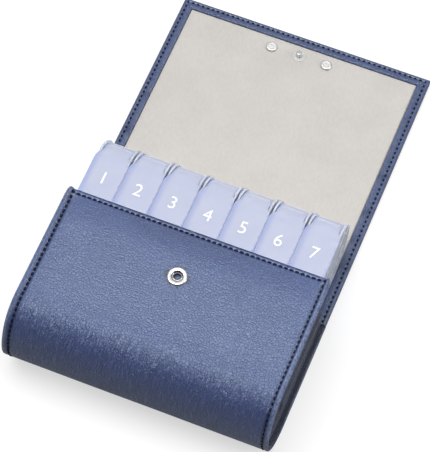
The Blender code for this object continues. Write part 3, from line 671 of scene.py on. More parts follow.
@dataclass(frozen=True)
class Leather(Finish):
    """Grained leather with a satin top coat.

    Attributes:
        pebble, relief: size and height of the grain.
        crease, crease_size: height of the bend's creases, and their width and length.
        wrinkle, wrinkle_size: the same for the fine wrinkles all over.
        tone, in_valley, in_crease, in_seam, wear: strength of each change of colour: random tone,
        darker pebble valleys, painted shade in the crease grooves, painted shade where the shade
        mark is high, and edges lighter partly by rubbing and partly as painted highlight.
    """

    name: str = "leather_finish"
    colour: tuple = linear(75, 91, 141)
    valley: tuple = linear(40, 50, 96)
    # Lighter edge colour: partly rubbed leather, partly painted highlight where the rims catch the
    # light.
    worn: tuple = linear(130, 147, 184)
    shadow: tuple = linear(26, 31, 58)
    tint: tuple = (0.88, 1.0, 1.0, 1.0)
    roughness: float = 0.25
    gloss: float = 1.0
    pebble: float = 1.5 * MM
    relief: float = 0.055 * MM
    unevenness: float = 0.6
    crease: float = 0.42 * MM
    crease_size: tuple = mm(1.5, 6.5)
    wrinkle: float = 0.05 * MM
    wrinkle_size: tuple = mm(3.4, 2.4)
    tone: float = 0.25
    in_valley: float = 0.8
    in_crease: float = 0.55
    in_seam: float = 0.8
    wear: float = 0.6

    def surface(self, graph: Graph) -> dict[str, Value]:
        """Pebbles and bend creases in relief, darker pebble valleys, painted shade in the crease
        grooves and where the shade mark is high, edges lighter partly by rubbing and partly as
        painted highlight, uneven gloss.

        Args:
            graph: where its patterns are built.

        Returns:
            The shader's inputs by name.
        """
        plan, bend = graph.plan(), graph.mark(BEND)
        look = {"Pebble": self.pebble, "Unevenness": self.unevenness}
        grain = graph.effect(Effect.PEBBLE, Vector=plan, **look)
        creases, wrinkles = (
            graph.effect(Effect.CREASE, Vector=plan, Width=width, Length=length)["Height"]
            for width, length in (self.crease_size, self.wrinkle_size)
        )
        tone = graph.span(graph.noise(plan, 14 * MM, 4.0, 0.55), 0.3, 0.7)
        # Changes of colour: random tone, darker pebble valleys, painted shade in the crease grooves,
        # and painted shade where the shade mark is high.
        base = self.colour
        for mark, strength, colour in (
            (tone, self.tone, self.valley),
            (grain["Valley"], self.in_valley, self.valley),
            (graph.times(graph.inverse(creases), bend), self.in_crease, self.valley),
            (graph.mark(PAINTED_SHADE), self.in_seam, self.shadow),
        ):
            base = graph.blend(graph.times(mark, strength), base, colour)
        smudge = graph.smudge(plan, 10 * MM, 0.1)
        rough = graph.plus(graph.times(grain["Valley"], 0.12), self.roughness)
        height = graph.plus(
            graph.times(grain["Height"], self.relief),
            graph.times(creases, bend, self.crease),
            graph.times(wrinkles, self.wrinkle),
        )
        return {
            # Lighter towards the edges: partly rubbing, partly painted highlight.
            "Base Color": graph.worn(plan, base, self.worn, self.wear),
            "Specular IOR Level": graph.times(graph.inverse(graph.mark(DULL)), self.gloss),
            "Specular Tint": self.tint,
            "Roughness": graph.plus(rough, graph.times(bend, 0.1), smudge),
            "Normal": graph.bump(height),
        }


@dataclass(frozen=True)
class Cloth(Finish):
    """Matt lining cloth with a fine weave."""

    name: str = "lining_finish"
    colour: tuple = linear(200, 197, 193)
    shade: tuple = linear(182, 178, 172)
    thread: float = 0.32 * MM
    slub: float = 1.2
    relief: float = 0.025 * MM

    def surface(self, graph: Graph) -> dict[str, Value]:
        """A fine weave in relief, a nap, slubs, a slow change of tone, and painted shade along the
        edge.

        Args:
            graph: where its patterns are built.

        Returns:
            The shader's inputs by name.
        """
        plan = graph.plan()
        weave = graph.effect(Effect.WEAVE, Vector=plan, Thread=self.thread, Slub=self.slub)
        tone = graph.span(graph.noise(plan, 22 * MM, 5.0, 0.6), 0.32, 0.68)
        nap = graph.noise(graph.stretched(plan, 1.0, 0.35), 1.1 * MM, 3.0, 0.7)
        share = graph.plus(graph.times(tone, 0.3), graph.times(graph.span(nap, 0.3, 0.7), 0.36))
        base = graph.blend(share, self.colour, self.shade)
        base = graph.blend(graph.times(weave["Gap"], 0.3), base, self.shade)
        return {
            # Painted shade along the lining's edge, where it meets the leather.
            "Base Color": graph.worn(plan, base, self.shade, 0.6),
            "Roughness": 0.92,
            "Specular IOR Level": 0.2,
            "Sheen Weight": 0.12,
            "Sheen Roughness": 0.5,
            "Normal": graph.bump(graph.times(weave["Height"], self.relief), 0.8),
        }


@dataclass(frozen=True)
class Board(Finish):
    """Pressed fibre board, inside the panels."""

    name: str = "board_finish"
    colour: tuple = linear(178, 168, 150)
    fibre: tuple = linear(140, 128, 110)

    def surface(self, graph: Graph) -> dict[str, Value]:
        """Fibres, and dust between them, matt.

        Args:
            graph: where its patterns are built.

        Returns:
            The shader's inputs by name.
        """
        place = graph.place()
        fibres = graph.noise(graph.stretched(place, 1.0, 0.2), 0.8 * MM, 5.0, 0.7)
        fibres = graph.span(fibres, 0.35, 0.65)
        base = graph.blend(fibres, self.colour, self.fibre)
        return {
            "Base Color": graph.blend(graph.smudge(place, 9 * MM, 0.4), base, self.fibre),
            "Roughness": 0.9,
            "Normal": graph.bump(graph.times(fibres, 0.05 * MM), 0.6),
        }


@dataclass(frozen=True)
class Nickel(Finish):
    """Polished nickel plate, lightly brushed and handled."""

    name: str = "nickel_finish"
    colour: tuple = linear(226, 225, 224)
    dull: tuple = linear(190, 188, 184)
    roughness: float = 0.16
    brushed: float = 0.0

    def surface(self, graph: Graph) -> dict[str, Value]:
        """Fine brushing and smudges in the gloss, hairline scratches in relief.

        Args:
            graph: where its patterns are built.

        Returns:
            The shader's inputs by name.
        """
        place = graph.place()
        smudge = graph.smudge(place, 3 * MM, 0.16)
        hair = graph.noise(graph.stretched(place, 0.04, 1.0), 0.12 * MM)
        brush = graph.times(hair, 0.06 + self.brushed)
        height = graph.times(hair, (0.002 + 0.01 * self.brushed) * MM)
        return {
            "Base Color": graph.blend(smudge, self.colour, self.dull),
            "Metallic": 1.0,
            "Roughness": graph.plus(brush, self.roughness, smudge),
            "Normal": graph.bump(height, 0.5),
        }


@dataclass(frozen=True)
class Nylon(Finish):
    """Pale moulded nylon of the stud's washer."""

    name: str = "pale_nylon_finish"
    colour: tuple = linear(203, 202, 203)
    shade: tuple = linear(190, 189, 190)

    def surface(self, graph: Graph) -> dict[str, Value]:
        """Satin, faintly mottled.

        Args:
            graph: where its patterns are built.

        Returns:
            The shader's inputs by name.
        """
        place = graph.place()
        return {
            "Base Color": graph.blend(graph.smudge(place, 2.5 * MM, 0.5), self.colour, self.shade),
            "Roughness": 0.4,
            "Normal": graph.bump(graph.times(graph.noise(place, 0.25 * MM), 0.01 * MM), 0.5),
        }


@dataclass(frozen=True)
class Thread(Finish):
    """Waxed sewing thread, with the twist of its plies."""

    name: str = "thread_finish"
    colour: tuple = linear(18, 26, 66)
    shade: tuple = linear(8, 12, 38)
    ply: float = 0.45 * MM
    slant: float = 0.6

    def surface(self, graph: Graph) -> dict[str, Value]:
        """Slanting plies in relief and tone.

        Args:
            graph: where its patterns are built.

        Returns:
            The shader's inputs by name.
        """
        turned = graph.add("ShaderNodeMapping", {0: graph.plan(), 2: (0.0, 0.0, self.slant)})
        inputs = {"Vector": turned, "Scale": 0.32 / self.ply, "Distortion": 0.4}
        ply = graph.add("ShaderNodeTexWave", inputs, 1)
        return {
            "Base Color": graph.blend(ply, self.shade, self.colour),
            "Roughness": 0.6,
            "Specular IOR Level": 0.15,
            "Normal": graph.bump(graph.times(ply, 0.06 * MM), 0.7),
        }


@dataclass(frozen=True)
class ClearPlastic(Finish):
    """Clear moulded plastic of the trays."""

    name: str = "tray_finish"
    colour: tuple = linear(221, 227, 253)
    shade: tuple = linear(203, 211, 247)
    roughness: float = 0.22

    def surface(self, graph: Graph) -> dict[str, Value]:
        """See-through, with handling smudges in the gloss and faint flow lines in relief.

        Args:
            graph: where its patterns are built.

        Returns:
            The shader's inputs by name.
        """
        place = graph.place()
        smudge = graph.smudge(place, 7 * MM, 0.12)
        flow = graph.noise(graph.stretched(place, 1.0, 0.3), 3 * MM)
        return {
            "Base Color": graph.blend(smudge, self.colour, self.shade),
            "Roughness": graph.plus(smudge, self.roughness),
            "IOR": 1.3,
            "Transmission Weight": 0.22,
            "Subsurface Weight": 1.0,
            "Subsurface Radius": (1.0, 1.0, 1.1),
            "Subsurface Scale": 1.5 * MM,
            "Normal": graph.bump(graph.times(flow, 0.03 * MM), 0.4),
        }


@dataclass(frozen=True)
class FrostedPlastic(Finish):
    """Pale frosted plastic of the lids."""

    name: str = "lid_finish"
    colour: tuple = linear(188, 193, 213)
    cool: tuple = linear(162, 172, 208)
    rim: tuple = linear(157, 167, 208)
    roughness: float = 0.36
    # Painted light: across this band of the lid, one long side turns bluer.
    cool_side: tuple = mm(-5.2, -9.0)

    def surface(self, graph: Graph) -> dict[str, Value]:
        """Painted light: bluer towards one long side and at the edges, for light coming through the
        translucent plastic; finely frosted, random bluer clouds, smudges in the gloss.

        Args:
            graph: where its patterns are built.

        Returns:
            The shader's inputs by name.
        """
        plan = graph.plan()
        side = graph.add("ShaderNodeSeparateXYZ", {0: plan})
        # Painted light: bluer towards one long side.
        base = graph.blend(graph.span(side, *self.cool_side), self.colour, self.cool)
        cloud = graph.span(graph.noise(plan, 9 * MM, 3.0), 0.3, 0.7)
        base = graph.blend(graph.times(cloud, 0.12), base, self.cool)
        frost = graph.noise(plan, 0.16 * MM, 2.0, 0.6)
        return {
            # Painted light: bluer towards the edges.
            "Base Color": graph.worn(plan, base, self.rim, 0.9),
            "Roughness": graph.plus(graph.smudge(plan, 8 * MM, 0.14), self.roughness),
            "IOR": 1.49,
            "Subsurface Weight": 1.0,
            "Subsurface Radius": (1.0, 1.0, 1.15),
            "Subsurface Scale": 2.0 * MM,
            "Normal": graph.bump(graph.times(frost, 0.006 * MM), 0.6),
        }


@dataclass(frozen=True)
class Print(Finish):
    """White ink of the numbers on the lids."""

    name: str = "number_finish"
    colour: tuple = linear(250, 251, 255)
    thin: tuple = linear(232, 235, 250)

    def surface(self, graph: Graph) -> dict[str, Value]:
        """Slightly uneven ink.

        Args:
            graph: where its patterns are built.

        Returns:
            The shader's inputs by name.
        """
        smudge = graph.smudge(graph.place(), 1.5 * MM, 0.5)
        return {"Base Color": graph.blend(smudge, self.colour, self.thin), "Roughness": 0.5}


@dataclass(frozen=True)
class Floor(Finish):
    """The studio's floor, lifted to white where a background shows, so that it keeps a shadow."""

    name: str = "floor_finish"
    grey: float = 0.42
    lift: float = 0.6
    reflected: float = 0.1

    def surface(self, graph: Graph) -> dict[str, Value]:
        """Matt grey, with a glow for the camera's rays and through glass, less in reflections.

        Args:
            graph: where its patterns are built.

        Returns:
            The shader's inputs by name.
        """
        path = graph.node("ShaderNodeLightPath").outputs
        shown = graph.math("MAXIMUM", path["Is Camera Ray"], path["Is Transmission Ray"])
        glossy = graph.times(path["Is Glossy Ray"], self.reflected)
        lift = graph.times(graph.math("MAXIMUM", shown, glossy), self.lift)
        return {
            "Base Color": (self.grey, self.grey, self.grey, 1.0),
            "Roughness": 0.9,
            "Specular IOR Level": 0.0,
            "Emission Color": graph.blend(lift, BLACK, WHITE),
            "Emission Strength": 1.0,
        }


class Palette:
    """Every finish of the organiser, built once."""

    def __init__(self) -> None:
        """Build the shared effects and every finish."""
        Effects()
        gusset = Leather(
            name="gusset_finish",
            colour=linear(102, 106, 134),
            valley=linear(30, 33, 46),
            worn=linear(110, 116, 138),
            shadow=linear(20, 22, 34),
            roughness=0.45,
            gloss=0.5,
            pebble=1.0 * MM,
            relief=0.24 * MM,
            crease=0.45 * MM,
        )
        # A darker, duller nickel for the socket's sleeve: painted shade in the socket's hole.
        eyelet = Nickel("eyelet_finish", linear(128, 128, 132), linear(96, 96, 100), 0.4)
        self.leather = Leather().build()
        self.gusset = gusset.build()
        self.lining = Cloth().build()
        self.board = Board().build()
        self.nickel = Nickel().build()
        self.plate = Nickel("plate_finish", roughness=0.22, brushed=0.1).build()
        self.eyelet = eyelet.build()
        self.cap = Nickel("cap_finish", roughness=0.32).build()
        self.nylon = Nylon().build()
        self.thread = Thread().build()
        self.tray = ClearPlastic().build()
        self.lid = FrostedPlastic().build()
        self.ink = Print().build()


class Slot(Enum):
    """The record's material slots."""

    LEATHER = "leather"
    GUSSET = "gusset_leather"
    LINING = "lining"
    BOARD = "board"
    NICKEL = "nickel"
    NYLON = "pale_nylon"
    TRAY = "tray_plastic"
    LID = "lid_plastic"


def stand_for(piece: Object, slot: Slot, *nodes: str) -> None:
    """Hide the nodes that a piece stands for, and log its number of faces.

    Args:
        piece: the piece.
        slot: its slot; not used.
        nodes: the nodes it replaces.
    """
    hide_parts(*nodes)
    log.info("%s: %d faces", piece.name, len(piece.data.polygons))


# The sheets that the pouch is made of


@dataclass(frozen=True)
class PouchSizes:
    """The pouch's sizes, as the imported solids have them."""

    half_width: float = 70.0 * MM
    depth: float = 47.0 * MM
    mouth: float = 84.6 * MM
    leather: float = 1.4 * MM
    mouth_fold: float = 3.1 * MM
    face: float = 3.4 * MM
    hem: float = 6.0 * MM
    corner: float = 2.2 * MM
    gusset_mouth: float = 80.6 * MM
    socket: float = 57.5 * MM
    flap_length: float = 236.822 * MM
    stud: float = 224.322 * MM
    lining_start: float = 5.4 * MM
    lining_top: float = 3.05 * MM
    lining_back: float = 2.6 * MM
    pocket_half: float = 65.9 * MM
    flap_half: float = 63.85 * MM
    fold_reach: float = 7.0 * MM


class SheetLine(Protocol):
    """A line in the side view that a sheet follows."""

    def place(self, along: Array, depth: Array) -> tuple[Array, Array]:
        """The y and z of points at a distance along the line and a depth below it."""


@dataclass
class Wrap:
    """The pouch's line: front panel, roll and back, in one sweep, from y = shift on."""

    sizes: PouchSizes
    shift: float

    def __post_init__(self) -> None:
        """Work out where the roll starts and ends."""
        self.radius = self.sizes.depth / 2
        self.front = self.sizes.mouth - self.radius
        self.roll_end = self.front + math.pi * self.radius
        self.end = self.at_back(self.sizes.flap_length)

    def at_back(self, height: float) -> float:
        """How far along the line a place on the back lies, from its distance to the bottom."""
        return self.roll_end + height - self.radius

    def place(self, along: Array, depth: Array) -> tuple[Array, Array]:
        """Front and back are straight and the roll is an arc.

        With t = (along - front) / R held between 0 and pi, y = R + (left before the roll) + (gone
        past it) - (R - depth) sin t, and z = R + (R - depth) cos t.

        Args:
            along: distance from the mouth.
            depth: distance below the outer face.

        Returns:
            y and z in the model's frame.
        """
        along = np.asarray(along, float)
        turn = np.clip((along - self.front) / self.radius, 0.0, math.pi)
        ahead = np.clip(self.front - along, 0.0, None)
        behind = np.clip(along - self.roll_end, 0.0, None)
        inner = self.radius - depth
        y = self.radius + ahead + behind - inner * np.sin(turn)
        return y + self.shift, self.radius + inner * np.cos(turn)


class Face(Enum):
    """The two faces of a sheet."""

    OUTER = "outer"
    INNER = "inner"


@dataclass
class Sheet:
    """A closed sheet: two faces over one plan, joined all round.

    Attributes:
        line: the line in the side view that it follows.
        half_width: half its width at a distance along.
        outer, inner: depth of each face at (along, x).
        marks: named marks at (along, x).
    """

    line: SheetLine
    half_width: Callable[[Array], Array]
    outer: Depth
    inner: Depth
    marks: dict[str, Depth]

    def at(self, along: Array, x: Array, depth: Array) -> Array:
        """Places from arrays of distance along, x and depth."""
        return together(x, *self.line.place(along, depth))

    def grid(self, face: Face, along: Array, x: Array) -> Array:
        """Places of points of one face."""
        return self.at(along, x, (self.outer if face is Face.OUTER else self.inner)(along, x))

    def patches(self, along: Array, shares: Array) -> list[Patch]:
        """The two faces and the four walls that join them.

        Point (along, share) of a face = (share * half width, the line's place at the face's depth).

        Args:
            along: distances along the line.
            shares: places across, from -1 to 1.

        Returns:
            Six patches, whose edges coincide.
        """
        along, shares = np.meshgrid(along, shares, indexing="ij")
        x = shares * self.half_width(along)
        marks = {}
        for name, mark in self.marks.items():
            marks[name] = np.broadcast_to(mark(along, x), x.shape)
        outer, inner = (
            Patch(self.grid(face, along, x), together(x, along + aside), marks)
            for face, aside in ((Face.OUTER, 0.0), (Face.INNER, 0.6))
        )
        walls = []
        for cut in (np.s_[:, 0], np.s_[:, -1], np.s_[0, :], np.s_[-1, :]):
            points = np.stack((outer.points[cut], inner.points[cut]), axis=1)
            height = np.linalg.norm(points[:, 1] - points[:, 0], axis=-1)[:, None]
            plan = np.stack((outer.plan[cut], outer.plan[cut] + height), axis=1)
            kept = {name: mark[cut][:, None] for name, mark in marks.items()}
            walls.append(Patch(points, plan, kept))
        return [outer, inner, *walls]

    def frames(self, face: Face, along: Array, x: Array, heading: Array) -> tuple[Array, ...]:
        """Places, directions and outward normals on a face, from differences over 0.1 mm.

        Args:
            face: which face.
            along, x: where the points lie.
            heading: their direction in the plan, as (along, x).

        Returns:
            Three (n, 3) arrays.
        """
        step, (ahead, aside) = 0.1 * MM, heading
        here = self.grid(face, along, x)
        direction = self.grid(face, along + step * ahead, x + step * aside) - here
        direction /= np.linalg.norm(direction, axis=-1, keepdims=True)
        across = self.grid(face, along - step * aside, x + step * ahead) - here
        normal = np.cross(direction, across)
        normal /= np.linalg.norm(normal, axis=-1, keepdims=True)
        middle = self.at(along, x, (self.outer(along, x) + self.inner(along, x)) / 2)
        outward = np.sign(np.sum(normal * (here - middle), axis=-1, keepdims=True))
        return here, direction, normal * outward


@dataclass
class Fold:
    """One fold of the flap: where it lies along the leather, and the bodies it joins."""

    along: float
    y: float
    before: str
    after: str


@dataclass
class Stretch:
    """One length of the sheets, from the middle of one strip to the middle of the next."""

    name: str
    leather_nodes: tuple
    lining_nodes: tuple
    start: float
    end: float
    fold: Fold


STRIPS = (
    ("pouch", ("outer_shell", "low_strip_leather"), ("pocket_lining", "low_strip_lining")),
    ("spine", ("mid_strip_leather",), ("mid_strip_lining",)),
    ("shoulder", ("top_strip_leather",), ("top_strip_lining",)),
    ("flap", ("flap_leather",), ("flap_lining",)),
)


@dataclass
class Pouch:
    """Leather, lining and stitching of the pouch and its flap.

    Attributes:
        palette, sizes: its finishes and the solids' sizes.
        pitch: distance between stitches.
        top_stitch, left_stitch, right_stitch, flap_stitch: each seam's distance from its edge.
        groove, groove_width: depth and width of a plain seam's groove.
        side_groove, side_width: the same at the pocket's sides.
        thick_thread, thin_thread, flap_thread: half the length, width and height of a stitch.
        bow: how high a stitch's middle stands, and how far its ends fall from there.
        border_shade, end_shade, back_shade, plain_shade, mouth_shade, roll_dulling: strength of
        the painted shade along the border, at its start, at the back's edges, in plain seams and
        at the mouth, and of the dulling where the roll starts.
        mouth_step: where the mouth's fold ends at the sheet's edge.
        plate_half, plate_corner: the plate's seat, half its size and its corners' radius.
        bead_middle: where the beads along the pocket's sides lie, as a share of the seam's inset.
        bead_width: their width as a share of that distance, and what it gains at the mouth.
        bead_rise: their height, and what it gains at the mouth.
        bead_slope: how far the leather sinks between bead and seam.
        droop_reach, droop_rate: where the sides start to bend down, and how fast.
        front_wave, lining_wave: lengths of the sines of the slow waves.
        sag_reach, sag_depth: how far from the mouth and how deep the front sinks, and what its
            middle adds.
        crown, swell, wave, lining_rise: heights of the front's crown, the roll's swell, and the
            leather's and the lining's slow waves.
        puff, mitre, well, seat: heights of the turned edge and its corners' folds, depths of the
            socket's well and of the plate's seat.
    """

    palette: Palette
    sizes: PouchSizes = field(default_factory=PouchSizes)
    pitch: float = 2.9 * MM
    top_stitch: float = 2.2 * MM
    left_stitch: float = 3.9 * MM
    right_stitch: float = 2.9 * MM
    flap_stitch: float = 2.3 * MM
    groove: float = 0.34 * MM
    groove_width: float = 0.62 * MM
    side_groove: float = 0.7 * MM
    side_width: float = 1.0 * MM
    thick_thread: tuple = mm(1.2, 0.72, 0.45)
    thin_thread: tuple = mm(1.1, 0.52, 0.36)
    flap_thread: tuple = mm(0.85, 0.58, 0.4)
    bow: tuple = mm(0.2, 0.34)
    border_shade: float = 0.5
    end_shade: float = 0.35
    back_shade: float = 0.7
    plain_shade: float = 0.6
    mouth_shade: float = 0.34
    roll_dulling: float = 0.24
    mouth_step: tuple = mm(3.95, 3.65)
    plate_half: tuple = mm(21.3, 6.3)
    plate_corner: float = 2.8 * MM
    bead_middle: float = 0.56
    bead_width: tuple = (1.0 / 2.2, 0.7 / 2.2)
    bead_rise: tuple = mm(0.3, 1.2)
    bead_slope: float = 0.35 * MM
    droop_reach: float = 3.3 * MM
    droop_rate: float = 0.15 / MM
    front_wave: tuple = mm(9.5, 31, 13, 40)
    lining_wave: tuple = mm(17, 21, 60, 9, 14)
    sag_reach: float = 20 * MM
    sag_depth: tuple = mm(1.35, 0.2)
    crown: float = 0.3 * MM
    swell: float = 0.7 * MM
    wave: float = 0.05 * MM
    lining_rise: float = 0.04 * MM
    puff: float = 0.12 * MM
    mitre: float = 0.22 * MM
    well: float = 2.4 * MM
    seat: float = 0.75 * MM

    def __post_init__(self) -> None:
        """Lay out the line, the folds and the four stretches between them."""
        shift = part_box("outer_shell")[0].y
        self.wrap = Wrap(self.sizes, shift)
        self.hem_start = self.wrap.at_back(self.sizes.gusset_mouth)
        self.stud_along = self.wrap.at_back(self.sizes.stud)
        self.socket_along = self.sizes.mouth - self.sizes.socket
        self.lining_stop = self.wrap.end - self.sizes.half_width + self.sizes.flap_half
        self.folds = []
        for row in frame["joints"]:
            if row["type"] == "hinge":
                y = row["pos_m"][1]
                place = self.wrap.at_back(y - shift)
                self.folds.append(Fold(place, y, row["parent"], row["child"]))
        middles = [(a.along + b.along) / 2 for a, b in zip(self.folds, self.folds[1:])]
        cuts = [0.0, *middles, self.wrap.end]
        rows = zip(STRIPS, cuts, cuts[1:], self.folds)
        self.stretches = [Stretch(*strip, start, end, fold) for strip, start, end, fold in rows]
        marks = {EDGE: self.leather_edge, BEND: self.bend, PAINTED_SHADE: self.shade, DULL: self.dulling}
        faces = (self.leather_half, self.leather_outer, self.leather_inner)
        self.leather = Sheet(self.wrap, *faces, marks)
        faces = (self.lining_half, self.lining_outer, self.lining_inner)
        self.lining = Sheet(self.wrap, *faces, {EDGE: self.lining_edge})

    # Where a place lies on the leather. Each takes the distance along, and x where it matters.

    def side(self, x: Array) -> Array:
        """Distance from the side edge."""
        return self.sizes.half_width - np.abs(x)

    def border(self, along: Array, x: Array) -> Array:
        """Distance from the flap's nearest edge."""
        return np.minimum(self.side(x), self.wrap.end - along)

    def leather_half(self, along: Array) -> Array:
        """Half width: full, but for the mouth's rounded corners."""
        return self.sizes.half_width - rounding(along, self.sizes.corner)

    def free_edge(self, along: Array, x: Array) -> Array:
        """Distance in the plan to the nearest free edge, round the mouth's corners.

        Args:
            along, x: where.

        Returns:
            The distance.
        """
        radius = self.sizes.corner
        over, short = radius - self.side(x), radius - along
        corner = radius - np.hypot(np.clip(over, 0.0, None), np.clip(short, 0.0, None))
        plain = np.minimum(along, self.side(x))
        near_mouth = np.where((over > 0) & (short > 0), corner, plain)
        return np.clip(np.minimum(near_mouth, self.wrap.end - along), 0.0, None)

    def hemmed(self, along: Array) -> Array:
        """1 along the flap, whose edges are turned over the lining, 0 before it."""
        return ramp(self.hem_start, self.hem_start + 0.3 * MM, along)

    def on_front(self, along: Array) -> Array:
        """1 on the front panel and the first half of the roll, 0 past it."""
        half_way = (self.wrap.front + self.wrap.roll_end) / 2
        return ramp(half_way + 12 * MM, half_way - 12 * MM, along)

    def near_socket(self, along: Array, x: Array, low: float, high: float) -> Array:
        """1 within a radius of the socket's middle, 0 past a larger one."""
        return ramp(high, low, np.hypot(x, along - self.socket_along))

    def near_plate(self, along: Array, x: Array) -> Array:
        """1 inside the plate's rounded seat on the flap's outside, 0 outside it.

        Args:
            along, x: where.

        Returns:
            The share.
        """
        (length, width), radius = self.plate_half, self.plate_corner
        over_x = np.clip(np.abs(x) - (length - radius), 0.0, None)
        over_y = np.clip(np.abs(along - self.stud_along) - (width - radius), 0.0, None)
        return ramp(radius + 0.1 * MM, radius - 0.25 * MM, np.hypot(over_x, over_y))

    def side_stitch(self, x: Array) -> Array:
        """Distance of the pocket's side seams from the edge: the right one is nearer."""
        return np.where(np.asarray(x) > 0.0, self.right_stitch, self.left_stitch)

    # Heights and depths on the leather

    def thickness(self, folded: Array, hemmed: Array) -> Array:
        """The leather's thickness, from the shares in which it is folded at the mouth or hemmed."""
        sizes = self.sizes
        fold, hem = sizes.mouth_fold - sizes.leather, sizes.face - sizes.leather
        return sizes.leather + fold * folded + hem * hemmed

    def edge_depth(self, along: Array, x: Array) -> Array:
        """Depth of the rounded edge: a folded mouth, a raw side, then the flap's turned edge."""
        thick = self.thickness(ramp(*self.mouth_step, along), self.hemmed(along))
        return rounding(self.free_edge(along, x), thick / 2)

    def seam_lines(self, along: Array, x: Array) -> tuple[Array, Array]:
        """Nearness to the seams: a bell curve across each.

        Args:
            along, x: where.

        Returns:
            Nearness to the mouth's and the flap's seams, and to the pocket's two side seams.
        """
        side, flap, inset = self.side(x), self.hemmed(along), self.side_stitch(x)
        top = hump(self.top_stitch, self.groove_width, along) * ramp(*mm(3.4, 4.0), side)
        width = self.side_width * inset / self.left_stitch
        border = hump(self.flap_stitch, self.groove_width, self.border(along, x)) * flap
        return np.maximum(top, border), hump(inset, width, side) * (1 - flap)

    def seams(self, along: Array, x: Array) -> Array:
        """Depth of the grooves that the stitching pulls, deepest at the pocket's sides.

        Args:
            along, x: where.

        Returns:
            The depth.
        """
        plain, sides = self.seam_lines(along, x)
        deep = self.groove + (self.side_groove - self.groove) * self.on_front(along)
        return np.maximum(self.groove * plain, deep * sides)

    def rolled_sides(self, along: Array, x: Array) -> Array:
        """Lift of the pocket's sides: a bead along each edge that stands up at the mouth's corners.

        A bell curve between edge and seam, wider and higher near the mouth, less a slope into the
        seam.

        Args:
            along, x: where.

        Returns:
            The lift.
        """
        side, middle = self.side(x), self.bead_middle * self.side_stitch(x)
        narrow, widening = self.bead_width
        bead = hump(middle, (narrow + widening * ramp(*mm(8, 2), along)) * middle, side)
        low, gain = self.bead_rise
        height = low + gain * ramp(*mm(11, 1), along)
        slope = self.bead_slope * ramp(*mm(10.5, 4.1), side) * ramp(*mm(1.6, 3.4), side)
        return (bead * height - slope * ramp(*mm(1, 6), along)) * self.on_front(along)

    def droop(self, along: Array, x: Array) -> Array:
        """How far both faces bend down towards the pocket's sides: rate * (reach - e)^2."""
        short = np.clip(self.droop_reach - self.side(x), 0.0, None)
        return self.droop_rate * short**2 * self.on_front(along)

    def front_form(self, along: Array, x: Array) -> Array:
        """How the front panel and the roll differ from flat and round, as a depth.

        The panel is crowned by a fourth power across, and sinks towards the mouth by the square of
        what is left of the sag's reach. The roll swells by a bell curve where it starts. Both have
        slow waves, the product of two slanting sines.

        Args:
            along, x: where.

        Returns:
            The depth.
        """
        front, roll_end = self.wrap.front, self.wrap.roll_end
        panel = 1.0 - ramp(front, front + 16 * MM, along)
        middle = 1.0 - (np.abs(x) / self.sizes.half_width) ** 4
        low, gain = self.sag_depth
        sag = np.clip(1.0 - along / self.sag_reach, 0.0, 1.0) ** 2 * (low + gain * middle)
        sag = sag * ramp(*mm(3, 7), self.side(x))
        crown = self.crown * ramp(0.0, 16 * MM, along) * panel * middle
        swell = self.swell * hump(front + 15 * MM, 11 * MM, along)
        a, b, c, d = self.front_wave
        wave = np.sin(along / a + x / b) * np.sin(x / c - along / d)
        roll = ramp(front - 4 * MM, front + 14 * MM, along)
        roll = roll * ramp(roll_end, roll_end - 20 * MM, along)
        calm = ramp(*mm(3, 12), self.free_edge(along, x)) * np.maximum(panel, roll)
        return sag - crown - swell + self.wave * wave * calm

    def leather_outer(self, along: Array, x: Array) -> Array:
        """Depth of the outer face: edge, seams, rolled sides, front, the socket's well, the seat.

        Args:
            along, x: where.

        Returns:
            The depth.
        """
        depth = self.edge_depth(along, x) + self.seams(along, x) + self.droop(along, x)
        depth = depth + self.front_form(along, x) - self.rolled_sides(along, x)
        well = self.well * self.near_socket(along, x, *mm(2.5, 2.8))
        return depth + well + self.seat * self.near_plate(along, x)

    def leather_inner(self, along: Array, x: Array) -> Array:
        """Depth of the inner face: the leather, and where its edge is turned over, the fold's top.

        The turned edge is puffed by a bell curve, and folded at 45 degrees in the flap's corners.

        Args:
            along, x: where.

        Returns:
            The depth.
        """
        side, near, hem = self.side(x), self.border(along, x), self.sizes.hem
        past_corner = np.maximum(ramp(*mm(4.2, 4.6), side), ramp(*self.mouth_step, along))
        folded = ramp(*mm(6.3, 5.9), along) * past_corner
        flap = self.hemmed(along) * ramp(hem + 0.15 * MM, hem - 0.2 * MM, near)
        thick = self.thickness(folded, flap)
        corner = hump(0.0, 0.3 * MM, side - (self.wrap.end - along)) * ramp(*mm(6.2, 5.6), near)
        puff = self.puff * flap * hump(4.3 * MM, 1.4 * MM, near) - self.mitre * corner
        well = (2.9 * MM - thick) * self.near_socket(along, x, *mm(2.9, 3.3))
        seam = self.seams(along, x) * self.hemmed(along)
        return thick + puff - seam + well - self.edge_depth(along, x) + self.droop(along, x)

    # Marks on the leather

    def leather_edge(self, along: Array, x: Array) -> Array:
        """Mark: how near a free edge a point is, from 1 at the edge, less past the front; it lightens
        the leather there, partly as rubbing and partly as painted highlight where the rims catch the
        light.
        """
        near = ramp(*mm(2.8, 0.6), self.free_edge(along, x))
        return near * (0.15 + 0.85 * self.on_front(along))

    def shade(self, along: Array, x: Array) -> Array:
        """Mark: painted shade. It darkens the seams' grooves, the flap's border and its start, the
        back's edges and the mouth's middle, where the sinking panel loses its gloss, and paints a
        shadow round the foot of the socket's ring.

        Args:
            along, x: where.

        Returns:
            The mark, from 0 to 1.
        """
        plain, sides = self.seam_lines(along, x)
        near, flap = self.border(along, x), self.hemmed(along)
